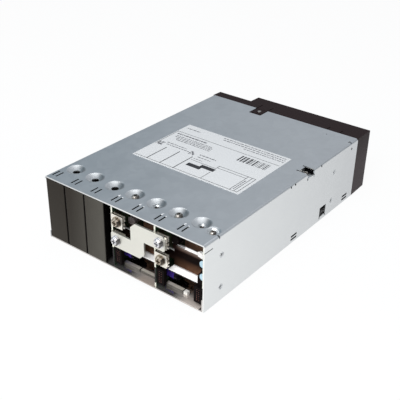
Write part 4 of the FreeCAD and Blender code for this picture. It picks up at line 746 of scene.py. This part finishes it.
# start, end, level and height of each line of small print
TEXT_LINES = [(4.0, 40.0, 62.0, 2.2), (6.5, 50.0, 57.6, 1.2), (6.5, 52.0, 55.0, 1.2),
              (10.0, 52.0, 52.4, 1.2), (12.0, 53.0, 49.8, 1.2), (9.0, 33.0, 40.0, 1.2),
              (11.0, 38.0, 36.6, 1.2), (50.0, 69.0, 38.2, 1.5), (51.0, 66.0, 33.6, 1.1),
              (50.0, 60.0, 29.0, 1.0), (46.0, 118.0, 82.0, 1.3), (48.0, 119.0, 78.4, 1.3),
              (74.0, 119.0, 74.8, 1.2), (4.0, 20.0, 77.5, 1.5)]
COLUMN, COLUMN_SPAN, COLUMN_WIDE = 112.2, (5.0, 24.0), 1.2
WORD_LONG, WORD_GAP = (1.2, 4.6), 0.8
PRINT_SEED = 11


def print_area(mesh, low, high):
    base = LABEL_LOW
    add_block(mesh, (base.x + low[0], base.y + low[1], LABEL_HIGH.z - PRINT_RISE),
              (base.x + high[0], base.y + high[1], LABEL_HIGH.z + PRINT_RISE))


def print_rule(mesh, start, end, wide):
    half = wide / 2
    print_area(mesh, (start[0] - half, start[1] - half), (end[0] + half, end[1] + half))


def word_spans(start, end, chance):
    """Spans of words along a line of small print."""
    at = start
    while at < end:
        word = chance.uniform(*WORD_LONG)
        yield at, min(at + word, end)
        at += word + WORD_GAP


def bold_print(chance):
    """Rules, the stepped bar and a plain bar code."""
    mesh = bmesh.new()
    for rules, wide in ((FRAME_RULES + FIELD_RULES, RULE_WIDE), (BOLD_RULES, BOLD_RULE_WIDE)):
        for start, end in rules:
            print_rule(mesh, start, end, wide)
    for low, high in STEPPED_BAR:
        print_area(mesh, low, high)
    at = CODE_BARS[0][0]
    while at < CODE_BARS[1][0]:
        wide = chance.choice(CODE_WIDTHS)
        print_area(mesh, (at, CODE_BARS[0][1]), (at + wide, CODE_BARS[1][1]))
        at += wide + chance.choice(CODE_GAPS)
    piece("label_rules", mesh, "ink")


def small_print(chance):
    """Lines of bars as long as words, one column of them, and two chequered fields."""
    mesh = bmesh.new()
    for start, end, level, tall in TEXT_LINES:
        for near, far in word_spans(start, end, chance):
            print_area(mesh, (near, level - tall / 2), (far, level + tall / 2))
    for near, far in word_spans(*COLUMN_SPAN, chance):
        print_area(mesh, (COLUMN - COLUMN_WIDE / 2, near), (COLUMN + COLUMN_WIDE / 2, far))
    for low, high in GREY_FIELDS:
        step = [(high[k] - low[k]) / FIELD_CELLS for k in (0, 1)]
        for row in range(FIELD_CELLS):
            for column in range(FIELD_CELLS):
                if chance.random() < FIELD_FILLED:
                    corner = (low[0] + step[0] * column, low[1] + step[1] * row)
                    print_area(mesh, corner, (corner[0] + step[0], corner[1] + step[1]))
    piece("label_small_print", mesh, "grey_ink")


def label_print():
    chance = random.Random(PRINT_SEED)
    bold_print(chance)
    small_print(chance)


# torn metal at the rear ends of the lanced guides, near white as a painted highlight
GUIDE_SIDE, GUIDE_STEP, GUIDE_WIDE, GUIDE_END = 2.2, 4.5, 1.5, FRONT + 14.4
TEAR_WIDE, TEAR_RISE, TEAR_SUNK, TEAR_TIP, FIRST_TEAR = 0.7, 0.6, 0.1, 0.05, 3
TEAR_LONG = (2.8, 1.2)


def sheared_ends():
    """Wedges that fall from the end of each slit to the sheet behind it."""
    mesh = bmesh.new()
    for slot in range(FIRST_TEAR, SLOTS):
        for side, long in enumerate(TEAR_LONG):
            middle = FIRST_SLOT + SLOT_PITCH * slot + GUIDE_SIDE + GUIDE_STEP * side + GUIDE_WIDE / 2
            tear = add_block(mesh, (middle - TEAR_WIDE / 2, GUIDE_END, TOP - TEAR_SUNK),
                             (middle + TEAR_WIDE / 2, GUIDE_END + long, TOP + TEAR_RISE))
            for vert in tear:
                if vert.co.z > TOP * MM and vert.co.y > (GUIDE_END + long / 2) * MM:
                    vert.co.z = (TOP + TEAR_TIP) * MM
    piece("guide_sheared_ends", mesh, "slit_shade_and_highlight")


# rolled bright edges of the sinks, from the left end to the right end of each flange
MITRE, EDGE_INSET = 3.2, 0.05
TAB = ((-8.1, 22.3), (-3.2, 21.2), (-2.5, 25.3), (-6.9, 27.3), (-7.9, 26.4))
TAB_THICK = 0.5


def rolled_edge(left, right, front, base, roll, rise, mitre=0.0):
    """Outlines of the two ends of a bar whose sloped face looks to the front and up."""
    return [[(x, front, base), (x + shift, front + roll, base + rise), (x, front + roll, base)]
            for x, shift in ((left, mitre), (right, 0.0))]


def sink_edges():
    """On each sink the ledge, the brow, the thin crest to the left of the brow, and the tab."""
    mesh = bmesh.new()
    for node in ("module_a_heatsink", "module_b_heatsink"):
        low, high = corners(node)
        back, crown = low.y + BROW_BACK, low.z + BROW_TOP
        add_prism(mesh, *rolled_edge(high.x - LEDGE_WIDE, high.x, low.y + EDGE_INSET, low.z + LEDGE_TOP,
                                     LEDGE_ROLL, LEDGE_RISE, MITRE))
        add_prism(mesh, *rolled_edge(high.x - BROW_WIDE, high.x, back + EDGE_INSET, crown,
                                     BROW_ROLL, BROW_RISE))
        start = BROW_ROLL - LINE_THICK
        crest = ((start, 0.0), (start, LINE_RISE), (BROW_ROLL, LINE_RISE), (BROW_ROLL, 0.0))
        add_prism(mesh, *[[(x, back + y, crown + z) for y, z in crest]
                          for x in (high.x - LINE_WIDE, high.x - BROW_WIDE)])
        add_prism(mesh, *[[(high.x + x, y, low.z + z) for x, z in TAB]
                          for y in (back - TAB_THICK, back + EDGE_INSET)])
    bmesh.ops.recalc_face_normals(mesh, faces=mesh.faces)
    piece("heatsink_bright_edges", mesh, "bead")


# disc capacitors: dark rims and a dark outline plate, and a nearer disc over the end of the sink's ledge
NEAR_FACE, NEAR_CENTRE, NEAR_RADIUS = -117.65, (83.8, 29.4), 3.4
NEAR_PROUD, NEAR_SUNK = 0.3, 0.2
RIM_WIDE, RIM_THICK, RIM_INSET = 1.3, 0.5, 0.4
DARK_OUTLINE = ((78.1, 20.5), (78.2, 28.4), (79.15, 31.1), (81.4, 34.1), (82.8, 36.7), (83.3, 35.2), (84.9, 33.4),
           (84.9, 20.5))
DARK_OUTLINE_THICK = 0.35
DISC_SEGMENTS = 40


def add_disc(mesh, centre, radius, front, back):
    """A disc that looks to the front; the centre is given across and up."""
    middle = Vector((centre[0], (front + back) / 2, centre[1])) * MM
    turned = Matrix.Translation(middle) @ Matrix.Rotation(math.pi / 2, 4, "X")
    bmesh.ops.create_cone(mesh, cap_ends=True, segments=DISC_SEGMENTS, radius1=radius * MM,
                          radius2=radius * MM, depth=(back - front) * MM, matrix=turned)


def disc_dark_rims():
    low, high = corners("signal_capacitors")
    radius = (high.x - low.x) / 2
    front = low.y + RIM_INSET
    dark, pale = bmesh.new(), bmesh.new()
    for level in (low.z + radius, high.z - radius):
        add_disc(dark, ((low.x + high.x) / 2, level - RIM_WIDE / 2), radius + RIM_WIDE,
                 front, front + RIM_THICK)
    add_prism(dark, *[[(x, y, z) for x, z in DARK_OUTLINE] for y in (NEAR_FACE, NEAR_FACE + DARK_OUTLINE_THICK)])
    add_disc(pale, NEAR_CENTRE, NEAR_RADIUS, NEAR_FACE - NEAR_PROUD, low.y + NEAR_SUNK)
    bmesh.ops.recalc_face_normals(dark, faces=dark.faces)
    piece("disc_dark_outline", dark, "socket")
    piece("disc_near_capacitor", pale, "disc")


# rivet of the cover's tab
RIVET, RIVET_RADIUS, RIVET_TALL, RIVET_TAPER = (-23.6, 117.0), 2.2, 0.6, 0.3
RIVET_SEGMENTS = 32


def tab_rivet():
    """A low tapered head, three quarters of it sunk in the cover's top."""
    mesh = bmesh.new()
    top = corners("rear_cover")[1].z
    spot = Vector((*RIVET, top - RIVET_TALL / 4)) * MM
    bmesh.ops.create_cone(mesh, cap_ends=True, segments=RIVET_SEGMENTS, radius1=RIVET_RADIUS * MM,
                          radius2=(RIVET_RADIUS - RIVET_TAPER) * MM, depth=RIVET_TALL * MM,
                          matrix=Matrix.Translation(spot))
    piece("cover_tab_rivet", mesh, "dark_screw")


# contact pins in the headers
HEADER_ROWS = 6
PIN_PITCH, PIN_HALF, PIN_LONG, PIN_SET = 2.0, 0.34, 2.2, -0.1
TIP_ZONE, TIP_SHARE = 0.1, 0.4


def header_pins(node):
    """Two columns of square pins with tapered tips."""
    low, high = corners(node)
    mesh = bmesh.new()
    middle = (low + high) / 2
    front = low.y + PIN_SET
    for column in (-0.5, 0.5):
        for row in range(HEADER_ROWS):
            across = middle.x + PIN_PITCH * column
            level = middle.z + PIN_PITCH * (row - (HEADER_ROWS - 1) / 2)
            pin = add_block(mesh, (across - PIN_HALF, front, level - PIN_HALF),
                            (across + PIN_HALF, front + PIN_LONG, level + PIN_HALF))
            tip = [vert for vert in pin if vert.co.y < (front + TIP_ZONE) * MM]
            centre = Vector((across, front, level)) * MM
            bmesh.ops.scale(mesh, vec=(TIP_SHARE, 1.0, TIP_SHARE), verts=tip,
                            space=Matrix.Translation(-centre))
    piece(node + "_pins", mesh, "pin")


label_print()
sheared_ends()
sink_edges()
disc_dark_rims()
tab_rivet()
for header in ("module_a_header", "module_b_header", "signal_header"):
    header_pins(header)


# floor, light and camera, in metres
FLOOR_HALF, FLOOR_GREY, FLOOR_GLOW = 4.0, (0.9, 0.9, 0.9, 1.0), 0.93
SKY_LEFT, SKY_RIGHT, HORIZON = (0.145, 0.215, 0.265), (0.455, 0.485, 0.525), (0.38, 0.40, 0.43)
SKY_TURN, SKY_RISE = (-0.72, -0.46), (0.1, 0.5)
SOFTBOXES = (("top_softbox", (0.10, -0.15, 1.25), 1.1, 4.4),
             ("front_softbox", (0.30, -1.00, 0.85), 0.8, 12.0),
             ("fill_softbox", (-0.69, -0.74, 0.81), 0.8, 2.0))
LAMP_AIM = Vector((0, 0, 0.03))
LENS, SENSOR = 66.474, 36.0
CAMERA_PLACE, CAMERA_TURN = (0.367160, -0.493942, 0.371702), (59.98729, -0.94027, 37.96888)


def floor_material():
    """White to the camera and to mirrors, with a faint shadow left in."""
    material = bpy.data.materials.new("studio_floor")
    material.use_nodes = True
    material.node_tree.nodes.clear()
    graph = Graph(material.node_tree)
    seen = [graph.add("ShaderNodeLightPath", output=ray)
            for ray in ("Is Camera Ray", "Is Glossy Ray", "Is Transmission Ray")]
    diffuse = graph.add("ShaderNodeBsdfDiffuse", sockets={"Color": FLOOR_GREY})
    glow = graph.add("ShaderNodeEmission", sockets={"Strength": 1.0})
    share = (seen[0] | seen[1] | seen[2]) * FLOOR_GLOW
    blend = graph.add("ShaderNodeMixShader", sockets={0: share, 1: diffuse, 2: glow})
    graph.add("ShaderNodeOutputMaterial", sockets={"Surface": blend})
    return material


def studio_floor():
    mesh = bmesh.new()
    bmesh.ops.create_grid(mesh, x_segments=1, y_segments=1, size=FLOOR_HALF)
    data = bpy.data.meshes.new("studio_floor")
    mesh.to_mesh(data)
    mesh.free()
    data.materials.append(floor_material())
    floor = bpy.data.objects.new("studio_floor", data)
    bpy.context.scene.collection.objects.link(floor)


def studio_world():
    """A pale room, darker to the left and down to the horizon."""
    world = bpy.data.worlds.new("studio_world")
    bpy.context.scene.world = world
    world.use_nodes = True
    graph = Graph(world.node_tree)
    x, _, z = graph.split(graph.add("ShaderNodeTexCoord", output="Generated"))
    overhead = graph.mix(graph.ramp(x, *SKY_TURN), SKY_LEFT, SKY_RIGHT)
    sky = graph.mix(graph.ramp(z, *SKY_RISE), HORIZON, overhead)
    graph.feed(graph.tree.nodes["Background"].inputs["Color"], sky)


def softbox(name, place, size, power):
    """A square area lamp that looks at the middle of the case."""
    lamp = bpy.data.lights.new(name, "AREA")
    lamp.size = size
    lamp.energy = power
    item = bpy.data.objects.new(name, lamp)
    item.location = place
    item.rotation_euler = (LAMP_AIM - item.location).to_track_quat("-Z", "Y").to_euler()
    bpy.context.scene.collection.objects.link(item)


def studio_camera():
    lens = bpy.data.cameras.new("photo_camera")
    lens.lens = LENS
    lens.sensor_width = SENSOR
    item = bpy.data.objects.new("photo_camera", lens)
    item.location = CAMERA_PLACE
    item.rotation_euler = Euler([math.radians(angle) for angle in CAMERA_TURN])
    bpy.context.scene.collection.objects.link(item)
    bpy.context.scene.camera = item


studio_floor()
studio_world()
for box in SOFTBOXES:
    softbox(*box)
studio_camera()
bpy.context.scene.view_settings.view_transform = "Standard"
